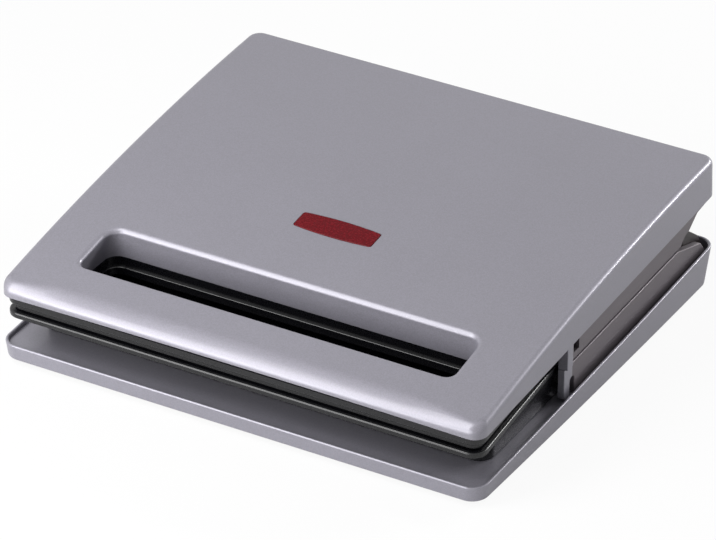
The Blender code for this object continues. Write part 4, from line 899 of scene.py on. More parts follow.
@dataclass
class LidCasing:
    """Silver shell of the lid, with the grip slot and the window for the lens."""

    finishes: Finishes
    half_width: float = 129.6 * MM
    corner: float = 6.8 * MM
    wall: float = 2.2 * MM
    tall: float = 40.0 * MM
    side_round: float = 2.8 * MM
    front_round: float = 5.0 * MM
    shoulder: float = 5.0 * MM
    shoulder_fade: float = 25.0 * MM
    draft: float = 0.022
    arch: float = 1.0 * MM
    slot_left: float = -101.6 * MM
    slot_right: float = 99.6 * MM
    slot_front: float = -91.4 * MM
    slot_rear: float = -61.6 * MM
    slot_corner: float = 4.5 * MM
    slot_rear_corner: float = 7.5 * MM
    slot_round: float = 2.5 * MM
    slot_draft: float = 0.9 * MM
    slot_over: float = 4.0 * MM
    slot_depth: float = 30.0 * MM
    collar_wall: float = 2.2 * MM
    collar_foot: float = 9.6 * MM
    lens_gap: float = 0.25 * MM
    lens_reach: float = 10.0 * MM

    def drape(self, place: Vector) -> Vector:
        """Lays a flat-topped shape over the crown, its foot on the lid's edge, and narrows it with height.

        Args:
            place: A point of the flat shape, whose top is at zero.

        Returns:
            Where it goes.
        """
        edge = LEVELS.lid_edge(place.y)
        if place.z < -self.tall / 2:
            near_front = 1.0 - clamp_share((place.y - LEVELS.lid_front) / self.corner)
            height = edge + self.arch * near_front * (1.0 - (place.x / self.half_width) ** 2)
        else:
            place = self.stretch(place)
            edge = LEVELS.lid_edge(place.y)
            height = place.z + LEVELS.crown(place.y)
        rise = height - edge
        narrow = 1.0 - self.draft * rise / self.half_width
        along = clamp_share(LEVELS.along_lid(place.y))
        return Vector((place.x * narrow, place.y - self.draft * rise * along, height))

    def stretch(self, place: Vector) -> Vector:
        """Draws the front shoulder out towards the rear, fading out behind it and at the corners.

        Args:
            place: A point of the rounded top.

        Returns:
            Where it goes.
        """
        depth = place.y - LEVELS.lid_front
        up = clamp_share(1.0 + place.z / self.front_round)
        behind = clamp_share(1.0 - (depth - self.front_round) / self.shoulder_fade)
        inwards = clamp_share((self.half_width - self.corner - abs(place.x)) / self.shoulder_fade)
        share = up ** 2 * behind * inwards * clamp_share(depth / self.front_round * 4.0)
        return Vector((place.x, place.y + self.shoulder * share, place.z))

    def weigh(self, item: bpy.types.Object) -> None:
        """Marks how strongly the bevel rounds each edge of the top: fully at the front, less at the sides.

        Args:
            item: The shell.
        """
        weights = item.data.attributes.new("bevel_weight_edge", "FLOAT", "EDGE")
        rim = bmesh.new()
        rim.from_mesh(item.data)
        low = self.side_round / self.front_round
        for index, edge in enumerate(rim.edges):
            middle = middle_of(edge)
            if edge.calc_face_angle(0.0) > SHARP and middle.z > -MM:
                near_front = 1.0 - clamp_share((middle.y - LEVELS.lid_front) / self.corner)
                weights.data[index].value = low + (1.0 - low) * near_front
        rim.free()

    def shell(self) -> bpy.types.Object:
        """Models the shell: a rounded plan, walls, a rounded shoulder, then the crown."""
        front = LEVELS.lid_front
        rear = LEVELS.lid_rear
        bench = Bench("lid_casing_fine").sheet(-self.half_width, self.half_width, front, rear)
        bench.round_corners(self.corner, 10)
        bench.score(1, [front + self.corner, *spread(front + self.corner, rear - self.corner, 33),
                        rear - self.corner])
        bench.score(0, spread(-self.half_width, self.half_width, 17))
        bench.everything().extrude(z=-self.tall).face_out().pick_level(up=False)
        bpy.ops.mesh.delete(type="FACE")
        shell = bench.off()
        if max(shell.data.polygons, key=lambda face: abs(face.normal.z)).normal.z < 0.0:
            shell.data.flip_normals()
        apply_modifier(shell, "SOLIDIFY", thickness=self.wall, offset=-1.0, use_even_offset=True)
        self.weigh(shell)
        apply_modifier(shell, "BEVEL", limit_method="WEIGHT", width=self.front_round, segments=7,
                       offset_type="OFFSET", use_clamp_overlap=False)
        Bench.again(shell).mould(self.drape)
        bpy.ops.object.mode_set(mode="OBJECT")
        return shell

    def slot_outline(self, name: str, grow: float, height: float) -> Bench:
        """The slot's outline as a sheet, grown by an offset.

        Args:
            name: Name of the piece.
            grow: How far it is grown.
            height: Its Z.

        Returns:
            The bench that holds it.
        """
        bench = Bench(name).sheet(self.slot_left - grow, self.slot_right + grow, self.slot_front - grow,
                                  self.slot_rear + grow, height)
        middle = (self.slot_front + self.slot_rear) / 2
        bench.round_corners(self.slot_corner + grow, 8, lambda place: place.y < middle)
        bench.round_corners(self.slot_rear_corner + grow, 10, lambda place: place.y > middle)
        return bench.everything()

    def collar(self) -> bpy.types.Object:
        """Wall that runs down from the slot, before the slot is cut through it."""
        bench = self.slot_outline("slot_collar", self.collar_wall, 0.0).extrude(z=-self.slot_depth)
        narrow = 1.0 - self.slot_draft / self.slot_right

        def fit(place: Vector) -> Vector:
            """Lays the collar's top under the crown and its foot over the parting plane."""
            if place.z > -MM:
                return Vector((place.x, place.y, LEVELS.crown(place.y) - self.wall / 2))
            return Vector((place.x * narrow, place.y, LEVELS.parting(place.y) + self.collar_foot))

        return bench.mould(fit).off()

    def slot_cutter(self) -> bpy.types.Object:
        """Slot to be cut, flared at its top edge so that the edge comes out round."""
        bench = self.slot_outline("slot_cutter", self.slot_round, self.slot_over)
        bench.extrude(z=-self.slot_over).face_out().pick_level(up=False)
        bench.draw_in(self.slot_round, 7, flat_end=False).inset(self.slot_draft, self.slot_depth)
        return bench.lift(LEVELS.crown).off()

    def build(self) -> None:
        """Models the casing and hangs it on the lid."""
        shell = self.shell()
        combine(shell, self.collar(), Operation.JOIN)
        combine(shell, self.slot_cutter(), Operation.CUT)
        lens = Indicator(self.finishes)
        window = lens.outline("lens_window", self.lens_gap, self.lens_reach, -self.lens_reach)
        combine(shell, window.off(), Operation.CUT)
        smooth(shell)
        place_piece(shell, Body.LID, "silver_paint", self.finishes.paint, "lid_casing")


@dataclass
class Skirts:
    """Recessed walls below the lid's sides, each with a post at its front end."""

    finishes: Finishes
    face: float = 126.4 * MM
    thickness: float = 2.5 * MM
    front: float = -33.0 * MM
    post_width: float = 5.6 * MM
    post_face: float = 128.8 * MM
    post_lap: float = 0.6 * MM
    post_round: float = 0.4 * MM
    rear: float = 112.5 * MM
    gap: float = 0.2 * MM
    root: float = 1.8 * MM
    notch_length: float = 9.8 * MM
    notch_height: float = 7.0 * MM
    notch_raise: float = 4.0 * MM
    bite_y: float = 93.5 * MM
    bite_height: float = 32.0 * MM
    bite_radius: float = 8.7 * MM
    over: float = 4.0 * MM
    relief_outline: tuple[tuple[float, float], ...] = (
        (-6.9 * MM, 12.7 * MM), (1.8 * MM, 18.7 * MM), (16.0 * MM, 20.7 * MM), (16.0 * MM, -6.5 * MM),
        (-6.9 * MM, -6.5 * MM))

    def wall(self) -> bpy.types.Object:
        """The wall with its post, from the seam up into the lid."""
        inner = self.face - self.thickness
        post_end = self.front + self.post_width
        corners = ((inner, self.front), (self.post_face, self.front), (self.post_face, post_end),
                   (self.face, post_end), (self.face, self.rear), (inner, self.rear))
        bench = Bench("right_skirt").trace([Vector((x, y, 0.0)) for x, y in corners])
        bench.everything().extrude(z=TALL).face_out()
        bench.pick_sharp(lambda middle: middle.x > self.post_face - MM / 10).bevel(self.post_round, 4)
        return bench.lay_between(lambda y: LEVELS.seam(y) + self.gap, over_edge(self.root), TALL).off()

    def relief(self) -> bpy.types.Object:
        """Wedge round the hinge that is cut away to clear the tray, drawn from the hinge's axis."""
        corner = LEVELS.hinge(self.face - self.thickness - self.over)
        bench = Bench("skirt_relief").trace([corner + Vector((0.0, y, z)) for y, z in self.relief_outline])
        return bench.extrude(x=3.0 * self.over).off()

    def build(self) -> None:
        """Models the right skirt and mirrors it to the left."""
        skirt = self.wall()
        start = self.front + self.post_width
        low = LEVELS.seam(start) + self.notch_raise
        reach = 1.5 * self.over
        high = Vector((self.face + reach, start + self.notch_length, low + self.notch_height))
        notch = rounded_block("skirt_notch", Vector((self.face - reach, start, low)), high, 0.0)
        combine(skirt, notch.off(), Operation.CUT)
        bite = cylinder("skirt_bite", Vector((self.face, self.bite_y, self.bite_height)), self.bite_radius,
                        2 * reach, 0, 64)
        combine(skirt, bite, Operation.CUT)
        combine(skirt, self.relief(), Operation.CUT)
        post = split_off_front(skirt, "right_post", start - self.post_lap)
        # The skirts take the silver paint darkened as painted shade; their posts keep the plain silver paint
        place_pair(skirt, Body.LID, "silver_paint", self.finishes.painted_shade_paint)
        place_pair(post, Body.LID, "silver_paint", self.finishes.paint)


@dataclass
class Indicator:
    """Red lens in the lid's top."""

    finishes: Finishes
    middle_x: float = -2.4 * MM
    half_width: float = 21.1 * MM
    front: float = -24.7 * MM
    rear: float = -14.1 * MM
    bow: float = 1.2 * MM
    corner: float = 1.0 * MM
    proud: float = 0.3 * MM
    depth: float = 2.4 * MM
    edge_round: float = 0.35 * MM

    def outline(self, name: str, grow: float, top: float, bottom: float) -> Bench:
        """The lens's bowed outline as a solid draped at the lid's top.

        Args:
            name: Name of the piece.
            grow: How far its outline is grown.
            top: Height of its upper face above the crown.
            bottom: Height of its lower face above the crown.

        Returns:
            The bench that holds it.
        """
        left = self.middle_x - self.half_width - grow
        right = self.middle_x + self.half_width + grow
        bench = Bench(name).sheet(left, right, self.front - grow, self.rear + grow, bottom)
        bench.round_corners(self.corner + grow, 4)
        bench.score(0, spread(left, right, 15))
        bench.everything().extrude(z=top - bottom)
        middle = (self.front + self.rear) / 2

        def bend(place: Vector) -> Vector:
            """Bows the long edges outwards."""
            across = (place.x - self.middle_x) / self.half_width
            along = (place.y - middle) / ((self.rear - self.front) / 2)
            out = self.bow * (1.0 - min(1.0, across ** 2)) * along
            return Vector((place.x, place.y + out, place.z))

        return bench.mould(bend).lift(LEVELS.crown)

    def build(self) -> None:
        """Models the lens and hangs it on the lid."""
        bench = self.outline("red_lens", 0.0, self.proud, -self.depth)
        bench.pick_sharp(lambda middle: middle.z > LEVELS.crown(middle.y)).bevel(self.edge_round, 3)
        lens = bench.off()
        smooth(lens)
        place_piece(lens, Body.LID, "red_lens", self.finishes.lens, "indicator_lens")


@dataclass
class FramePlan:
    """Outline that both black frames share: wide at the lip, narrow beside the side covers."""

    half_width: float = 128.2 * MM
    rear_half_width: float = 121.0 * MM
    front: float = LEVELS.frame_front
    rear: float = 88.0 * MM
    corner: float = 7.5 * MM
    narrowing_start: float = -110.0 * MM
    narrowing_end: float = -17.0 * MM
    opening_half: float = 112.6 * MM
    opening_front: float = -46.6 * MM
    opening_rear: float = 81.6 * MM
    opening_corner: float = 6.4 * MM

    def block(self, name: str, inset: float, tall: float) -> Bench:
        """A flat block with this outline, standing on zero.

        Args:
            name: Name of the piece.
            inset: How far the outline is drawn in.
            tall: Height of the block.

        Returns:
            The bench that holds it.
        """
        half = self.half_width - inset
        bench = Bench(name).sheet(-half, half, self.front + inset, self.rear - inset)
        bench.round_corners(self.corner - min(inset, self.corner / 2), 8)
        bench.score(1, spread(self.front + self.corner, self.rear - self.corner, 19))
        return bench.everything().extrude(z=tall).face_out()

    def narrow(self, bench: Bench, inset: float) -> Bench:
        """Draws a block's sides in towards the rear.

        Args:
            bench: The bench that holds the block.
            inset: How far its outline is drawn in.

        Returns:
            The bench, for the next step.
        """
        def change(place: Vector) -> Vector:
            """Draws one point in."""
            along = (place.y - self.narrowing_start) / (self.narrowing_end - self.narrowing_start)
            swell = (self.rear_half_width - self.half_width) * clamp_share(along)
            return Vector((place.x * (1.0 + swell / (self.half_width - inset)), place.y, place.z))

        return bench.mould(change)

    def cut_opening(self, item: bpy.types.Object, low: float, high: float) -> None:
        """Cuts the plate's opening through a frame, between two heights over the parting plane.

        Args:
            item: The frame.
            low: Height of the cutter's foot.
            high: Height of its top.
        """
        tall = high - low
        block = rounded_block("plate_opening", Vector((-self.opening_half, self.opening_front, 0.0)),
                              Vector((self.opening_half, self.opening_rear, tall)), self.opening_corner)
        block.lay_between(over_parting(low), over_parting(high), tall)
        combine(item, block.off(), Operation.CUT)


@dataclass
class LowerFrame:
    """Black frame round the lower plate, with its front lip and finger pocket."""

    finishes: Finishes
    plan: FramePlan
    face: float = -0.35 * MM
    slab: float = 2.8 * MM
    lip: float = 3.3 * MM
    edge_round: float = 1.0 * MM
    under_round: float = 0.6 * MM
    leg_half: float = 120.6 * MM
    leg_front: float = -95.65 * MM
    leg_corner: float = 8.4 * MM
    leg_wall: float = 2.4 * MM
    leg_gap: float = 0.3 * MM
    pocket_half: float = 109.0 * MM
    pocket_front: float = -104.0 * MM
    pocket_rear: float = -49.6 * MM
    pocket_depth: float = 5.2 * MM
    pocket_corner: float = 6.0 * MM
    pocket_round: float = 1.0 * MM
    pocket_wall: float = 1.5 * MM
    pocket_floor: float = 1.9 * MM
    pocket_draft: float = 0.3 * MM
    pocket_over: float = 3.0 * MM
    overlap: float = 0.9 * MM
    leg_clear: float = 0.02 * MM
    hollow_over: float = 4.0 * MM
    opening_low: float = -12.0 * MM
    opening_high: float = 8.0 * MM

    def slab_block(self) -> bpy.types.Object:
        """The slab with its rounded lip."""
        tall = self.lip + self.face
        bench = self.plan.block("lower_frame_fine", 0.0, tall)
        bench.pick_sharp(lambda middle: middle.z > tall - SPOT).bevel(self.edge_round, 5)
        bench.pick_sharp(lambda middle: middle.z < SPOT).bevel(self.under_round, 4)
        self.plan.narrow(bench, 0.0)
        return bench.lay_between(over_parting(-self.lip), over_parting(self.face), tall).off()

    def legs(self, name: str, inset: float, low: Surface, high: Surface) -> bpy.types.Object:
        """The walls that stand on the deck, as a block between two surfaces.

        Args:
            name: Name of the block.
            inset: How far its outline is drawn in.
            low: Height of its lower surface at a Y.
            high: Height of its upper surface at a Y.

        Returns:
            The block.
        """
        corner = Vector((-self.leg_half + inset, self.leg_front + inset, 0.0))
        far = Vector((self.leg_half - inset, self.plan.rear - inset - self.leg_clear, TALL))
        return rounded_block(name, corner, far, self.leg_corner - inset).lay_between(low, high, TALL).off()

    def pocket(self, name: str, grow: float, high: float, low: float) -> Bench:
        """The finger pocket's outline as a block between two heights over the parting plane.

        Args:
            name: Name of the block.
            grow: How far the outline is grown.
            high: Height of its top.
            low: Height of its foot.

        Returns:
            The bench that holds it.
        """
        corner = Vector((-self.pocket_half - grow, self.pocket_front - grow, low))
        far = Vector((self.pocket_half + grow, self.pocket_rear + grow, high))
        return rounded_block(name, corner, far, self.pocket_corner + grow, 8).face_out()

    def build(self) -> None:
        """Models the frame and sets it on the base."""
        frame_piece = self.slab_block()
        deck = self.legs("frame_legs", 0.0, lambda y: LEVELS.deck(y) + self.leg_gap,
                         over_parting(-self.lip + self.overlap))
        combine(frame_piece, deck, Operation.JOIN)
        hollow = self.legs("frame_hollow", self.leg_wall, lambda y: LEVELS.deck(y) - self.hollow_over,
                           over_parting(self.face - self.slab))
        combine(frame_piece, hollow, Operation.CUT)
        shell = self.pocket("pocket_shell", self.pocket_wall, self.face - self.slab / 2,
                            self.face - self.pocket_depth - self.pocket_floor)
        combine(frame_piece, shell.lift(LEVELS.parting).off(), Operation.JOIN)
        cutter = self.pocket("finger_pocket", self.pocket_round, self.face + self.pocket_over, self.face)
        cutter.pick_level(up=False).draw_in(self.pocket_round, 5, flat_end=False)
        cutter.inset(self.pocket_draft, self.pocket_depth - 2.5 * self.pocket_round)
        cutter.draw_in(1.5 * self.pocket_round, 5, flat_end=True)
        combine(frame_piece, cutter.lift(LEVELS.parting).off(), Operation.CUT)
        self.plan.cut_opening(frame_piece, self.opening_low, self.opening_high)
        smooth(frame_piece)
        place_piece(frame_piece, Body.BASE, "frame_plastic", self.finishes.frame, "lower_frame")


@dataclass
class UpperFrame:
    """Black frame round the upper plate: undercut face, band, slot collar, rear apron and hinge knuckles."""

    finishes: Finishes
    plan: FramePlan
    casing: LidCasing
    face: float = 0.35 * MM
    slab: float = 2.8 * MM
    undercut: float = 2.6 * MM
    undercut_round: float = 0.4 * MM
    band: float = 3.45 * MM
    band_round: float = 1.3 * MM
    band_gap: float = 1.2 * MM
    ledge: float = 4.2 * MM
    ledge_depth: float = 1.5 * MM
    ledge_round: float = 0.5 * MM
    opening_low: float = -8.0 * MM
    opening_high: float = 12.0 * MM
    slot_low: float = -4.0 * MM
    slot_high: float = 14.0 * MM
    step: float = 1.2 * MM
    wall: float = 2.4 * MM
    gap: float = 0.3 * MM
    tuck: float = 1.0 * MM
    apron_half: float = 120.0 * MM
    apron_front: float = 85.6 * MM
    apron_rear: float = 113.85 * MM
    apron_raise: float = 0.2 * MM
    apron_thickness: float = 1.8 * MM
    apron_corner: float = 8.0 * MM
    knuckle_x: float = 95.8 * MM
    knuckle_radius: float = 6.5 * MM
    knuckle_length: float = 14.0 * MM
    bore_radius: float = 3.1 * MM
    web_front: float = 5.8 * MM
    web_rear: float = 2.0 * MM
    web_corner: float = 0.8 * MM
    head_radius: float = 3.4 * MM
    head_depth: float = 4.0 * MM
    head_shift: float = -0.6 * MM

    def layer(self, name: str, inset: float, low: Surface, high: Surface,
              rounding: float = 0.0) -> bpy.types.Object:
        """One layer of the frame between two surfaces, its lower edge rounded.

        Args:
            name: Name of the layer.
            inset: How far its outline is drawn in.
            low: Height of its lower surface at a Y.
            high: Height of its upper surface at a Y.
            rounding: Radius of its lower outer edge.

        Returns:
            The layer.
        """
        bench = self.plan.block(name, inset, TALL)
        if rounding:
            bench.pick_sharp(lambda middle: middle.z < SPOT).bevel(rounding, 4)
        self.plan.narrow(bench, inset)
        return bench.lay_between(low, high, TALL).off()

    def knuckle(self, side: Side) -> list[bpy.types.Object]:
        """Eye and web of one hinge knuckle.

        Args:
            side: The side that it is on.

        Returns:
            The two solids.
        """
        centre = LEVELS.hinge(side.value * self.knuckle_x)
        eye = cylinder("knuckle_eye", centre, self.knuckle_radius, self.knuckle_length, 0, 48)
        half = self.knuckle_length / 2 - self.gap
        top = over_edge(self.apron_raise)(centre.y) + self.apron_thickness / 2
        low = centre - Vector((half, self.web_front, 0.0))
        high = Vector((centre.x + half, centre.y + self.web_rear, top))
        return [eye, rounded_block("knuckle_web", low, high, self.web_corner, 3).off()]

    def slot_wall(self, name: str, grow: float, low: float, high: float) -> bpy.types.Object:
        """The slot's outline as a block between two heights over the parting plane.

        Args:
            name: Name of the block.
            grow: How far the outline is grown.
            low: Height of its foot.
            high: Height of its top.

        Returns:
            The block.
        """
        bench = self.casing.slot_outline(name, grow - self.casing.slot_draft, low).extrude(z=high - low)
        return bench.face_out().lift(LEVELS.parting).off()

    def ledge_cutter(self) -> bpy.types.Object:
        """Cuts the slot wider above its ledge, and rounds the ledge's edge."""
        grow = self.ledge_depth - self.gap - self.casing.slot_draft
        bench = self.casing.slot_outline("ledge_cutter", grow, self.slot_high)
        bench.extrude(z=self.ledge - self.slot_high).face_out().pick_level(up=False)
        bench.inset(self.ledge_depth - self.ledge_round).draw_in(self.ledge_round, 4, flat_end=False)
        return bench.extrude(z=-4.0 * self.ledge_round).lift(LEVELS.parting).off()

    def layers(self) -> bpy.types.Object:
        """The frame's layers, joined and hollowed."""
        overlap = over_parting(self.band + MM)
        frame_piece = self.layer("upper_frame_fine", self.undercut, over_parting(self.face), overlap,
                                 self.undercut_round)
        band = self.layer("frame_band", 0.0, over_parting(self.band), over_edge(-self.band_gap),
                          self.band_round)
        tuck = self.layer("frame_tuck", self.step, overlap, over_edge(self.tuck))
        hollow = self.layer("frame_hollow", self.step + self.wall, over_parting(self.face + self.slab),
                            over_edge(2 * self.tuck))
        combine(frame_piece, band, Operation.JOIN)
        combine(frame_piece, tuck, Operation.JOIN)
        combine(frame_piece, hollow, Operation.CUT)
        return frame_piece

    def apron(self) -> bpy.types.Object:
        """The apron behind the plate, under the lid's rear."""
        high = Vector((self.apron_half, self.apron_rear, self.apron_thickness))
        bench = rounded_block("frame_apron", Vector((-self.apron_half, self.apron_front, 0.0)), high,
                              self.apron_corner)
        return bench.lift(over_edge(self.apron_raise)).off()

    def build(self) -> None:
        """Models the frame and hangs it on the lid."""
        frame_piece = self.layers()
        collar = self.slot_wall("frame_collar", self.casing.collar_wall + self.ledge_depth / 2,
                                self.face + self.slab / 2, self.casing.collar_foot - self.gap)
        for part in (collar, self.apron(), *self.knuckle(Side.LEFT), *self.knuckle(Side.RIGHT)):
            combine(frame_piece, part, Operation.JOIN)
        slot = self.slot_wall("frame_slot", -self.gap, self.slot_low, self.slot_high)
        for part in (slot, self.ledge_cutter()):
            combine(frame_piece, part, Operation.CUT)
        self.plan.cut_opening(frame_piece, self.opening_low, self.opening_high)
        bores = [cylinder("knuckle_bore", LEVELS.hinge(side.value * self.knuckle_x), self.bore_radius,
                          2 * self.knuckle_length, 0) for side in Side]
        recesses = [cylinder("head_recess", place + Vector((0.0, 0.0, self.head_shift)), self.head_radius,
                             self.head_depth, 2) for place in Screws.places("lid_screw")]
        for part in bores + recesses:
            combine(frame_piece, part, Operation.CUT)
        smooth(frame_piece)
        place_piece(frame_piece, Body.LID, "frame_plastic", self.finishes.frame, "upper_frame")


@dataclass
class SandwichPlates:
    """Cast plates: each has four dished triangular pockets between a crossed ridge."""

    finishes: Finishes
    half_width: float = 112.2 * MM
    front: float = -46.2 * MM
    rear: float = 81.2 * MM
    corner: float = 6.0 * MM
    face: float = 0.5 * MM
    seat: float = 3.45 * MM
    flange: float = 1.5 * MM
    rim_step: float = 1.6 * MM
    wall: float = 2.5 * MM
    edge_round: float = 0.8 * MM
    margin: float = 5.0 * MM
    ridge: float = 7.0 * MM
    pocket_round: float = 9.0 * MM
    pocket_depth: float = 9.0 * MM
    slant: float = 1.2
    mouth_round: float = 1.4 * MM
    mouth_steps: int = 4
    steps: int = 12

    def triangle(self, side: Side, near: bool, grow: float) -> list[Vector]:
        """Corners of one pocket, sharp, in plan, with all three edges moved out by a distance.

        Args:
            side: Which half of the plate it is in.
            near: True for the pocket at the front.
            grow: The distance.

        Returns:
            The three corners, in order.
        """
        inner = self.ridge / 2 - grow
        outer = self.half_width - self.margin + grow
        low = self.front + self.margin - grow
        high = self.rear - self.margin + grow
        spread_length = inner * math.hypot(outer - inner, high - low)
        along_x = spread_length / (high - low)
        along_y = spread_length / (outer - inner)
        if near:
            plan = ((inner, low), (outer - along_x, low), (inner, high - along_y))
        else:
            plan = ((outer, high), (inner + along_x, high), (outer, low + along_y))
        return [Vector((side.value * x, y, 0.0)) for x, y in plan]

    def dish(self, name: str, side: Side, near: bool, grow: float, top: float,
             profile: list[tuple[float, float]]) -> bpy.types.Object:
        """One pocket as a solid that is drawn in step by step on its way down.

        Args:
            name: Name of the solid.
            side: Which half of the plate it is in.
            near: True for the pocket at the front.
            grow: How far its outline is grown.
            top: Height of its flat top.
            profile: How far each ring is drawn in, with its height.

        Returns:
            The solid.
        """
        corners = self.triangle(side, near, grow)
        sides = [(corners[turn - 1] - corners[turn - 2]).length for turn in range(3)]
        centre = sum((corner * length for corner, length in zip(corners, sides)), Vector()) / sum(sides)
        inner_radius = (corners[1] - corners[0]).cross(corners[2] - corners[0]).length / sum(sides)
        bench = Bench(name).trace(corners)
        bench.round_corners(self.pocket_round, 7)
        bench.everything()
        bpy.ops.transform.translate(value=(0.0, 0.0, top))
        size = 1.0
        height = top
        for inset, low in profile:
            share = 1.0 - inset / inner_radius
            if height == top:
                bpy.ops.transform.resize(value=(share, share, 1.0), center_override=centre)
                size = share
            bench.extrude(z=low - height)
            bpy.ops.transform.resize(value=(share / size, share / size, 1.0), center_override=centre)
            size = share
            height = low
        return bench.off()

    def bowl(self, start: float, floor: float) -> list[tuple[float, float]]:
        """Profile of a dish that starts steep and ends flat.

        Args:
            start: Height of its rim.
            floor: Height of its floor.

        Returns:
            How far each ring is drawn in, with its height.
        """
        run = self.slant * self.pocket_depth
        return [(run * step / self.steps, start - (start - floor) * math.sin(math.pi / 2 * step / self.steps))
                for step in range(1, self.steps + 1)]

    def mouth(self) -> list[tuple[float, float]]:
        """Profile of the rounded edge between the plate's face and a dish."""
        steep = math.atan(math.pi / 2 / self.slant)
        start = self.mouth_round * math.tan(steep / 2)
        turns = [steep * step / self.mouth_steps for step in range(self.mouth_steps + 1)]
        return [(self.mouth_round * math.sin(turn) - start,
                 -self.face - self.mouth_round * (1.0 - math.cos(turn))) for turn in turns]

    def build(self) -> None:
        """Models the lower plate and mirrors it to the upper half."""
        for name, node, body, sign in (("lower_plate_fine", "lower_plate", Body.BASE, -1.0),
                                       ("upper_plate_fine", "upper_plate", Body.LID, 1.0)):
            plate = self.casting(name)
            Bench.again(plate).mould(lambda place: Vector((
                place.x, place.y, LEVELS.parting(place.y) - sign * place.z)))
            if body is Body.LID:
                bpy.ops.mesh.flip_normals()
            bpy.ops.object.mode_set(mode="OBJECT")
            smooth(plate)
            place_piece(plate, body, "non_stick_coating", self.finishes.coating, node)

    def casting(self, name: str) -> bpy.types.Object:
        """The casting with its face down from zero.

        Args:
            name: Name of the plate.

        Returns:
            The plate, in its own flat frame.
        """
        bench = rounded_block(name, Vector((-self.half_width, self.front, -self.seat)),
                              Vector((self.half_width, self.rear, -self.face)), self.corner, 8).face_out()
        bench.pick_sharp(lambda middle: middle.z > -self.seat / 2).bevel(self.edge_round, 4)
        plate = bench.off()
        half = self.half_width + self.rim_step
        low = Vector((-half, self.front - self.rim_step, -self.seat - self.flange))
        high = Vector((half, self.rear + self.rim_step, -self.seat))
        rim = rounded_block("plate_flange", low, high, self.corner + self.rim_step, 8)
        combine(plate, rim.off(), Operation.JOIN)
        floor = -self.face - self.pocket_depth
        places = [(side, near) for side in Side for near in (True, False)]
        under = [(0.0, -self.seat), *self.bowl(-self.seat, floor - self.wall)]
        for side, near in places:
            shell = self.dish("pocket_shell", side, near, self.wall / 2, -self.seat / 2, under)
            combine(plate, shell, Operation.JOIN)
        hollow = self.mouth() + self.bowl(-self.face, floor)
        for side, near in places:
            combine(plate, self.dish("pocket", side, near, 0.0, self.seat, hollow), Operation.CUT)
        return plate


@dataclass
class SideCovers:
    """Walls on the base's sides, each with a tongue and a slit at its front end."""

    finishes: Finishes
    face: float = 127.2 * MM
    thickness: float = 3.4 * MM
    front: float = -33.0 * MM
    tongue: float = 5.4 * MM
    slit: float = 4.3 * MM
    slit_height: float = 22.5 * MM
    shoulder: float = 81.0 * MM
    bend: float = 106.0 * MM
    bend_height: float = 28.2 * MM
    rear: float = 110.0 * MM
    rear_height: float = 23.0 * MM
    gap: float = 0.15 * MM
    foot_gap: float = 0.3 * MM
    corner: float = 2.6 * MM
    edge_round: float = 0.45 * MM
    slit_round: float = 0.45

    def build(self) -> None:
        """Models the right cover and mirrors it to the left."""
        tongue_end = self.front + self.tongue
        slit_end = tongue_end + self.slit
        slit_round = self.slit * self.slit_round

        def foot(y: float) -> float:
            """Height of the cover's foot over the deck."""
            return LEVELS.deck(y) + self.foot_gap

        plan = ((self.front, LEVELS.seam(self.front) - self.gap, self.corner / 4),
                (self.front, foot(self.front), self.corner),
                (tongue_end, foot(tongue_end), self.corner),
                (tongue_end, self.slit_height, slit_round),
                (slit_end, self.slit_height, slit_round),
                (slit_end, foot(slit_end), self.corner / 4),
                (self.rear, foot(self.rear), self.corner / 4),
                (self.rear, self.rear_height, self.corner / 2),
                (self.bend, self.bend_height, self.corner),
                (self.shoulder, LEVELS.seam(self.shoulder) - self.gap, self.corner))
        bench = cut_from_side("right_side_cover", self.face - self.thickness, plan, self.thickness, 5)
        bench.pick_sharp(lambda middle: middle.x > self.face - MM / 10).bevel(self.edge_round, 4)
        cover = bench.off()
        tab = split_off_front(cover, "right_tab", tongue_end + self.slit / 2)
        # The covers take the silver paint darkened as painted shade; their tabs keep the plain silver paint
        place_pair(cover, Body.BASE, "silver_paint", self.finishes.painted_shade_paint, "cheek")
        place_pair(tab, Body.BASE, "silver_paint", self.finishes.paint)


@dataclass
class HingeHousings:
    """Dark housings on the deck that take the hinge pins, sloping down to the rear."""

    finishes: Finishes
    outer: float = 123.4 * MM
    length: float = 20.0 * MM
    front: float = 93.2 * MM
    top_height: float = 37.2 * MM
    crest: float = 99.5 * MM
    bend: float = 110.0 * MM
    bend_height: float = 29.6 * MM
    rear: float = 114.0 * MM
    rear_height: float = 22.5 * MM
    corner: float = 4.2 * MM
    edge_round: float = 0.6 * MM
    foot_gap: float = 0.3 * MM
    bore_radius: float = 3.1 * MM
    bore_reach: float = 118.8 * MM
    bore_over: float = 4.0 * MM

    def build(self) -> None:
        """Models the right housing and mirrors it to the left."""
        inner = self.outer - self.length
        low = LEVELS.deck(self.rear) + self.foot_gap
        plan = ((self.front, low, self.corner / 3), (self.rear, low, self.corner / 3),
                (self.rear, self.rear_height, self.corner / 2), (self.bend, self.bend_height, self.corner),
                (self.crest, self.top_height, self.corner), (self.front, self.top_height, self.corner / 2))
        bench = cut_from_side("right_housing", inner, plan, self.length, 6)
        housing = bench.pick_sharp().bevel(self.edge_round, 4).off()
        depth = self.bore_reach - inner + self.bore_over
        bore = cylinder("pin_bore", LEVELS.hinge(self.bore_reach - depth / 2), self.bore_radius, depth, 0)
        combine(housing, bore, Operation.CUT)
        place_pair(housing, Body.BASE, "housing_plastic", self.finishes.housing, "hinge_housing")


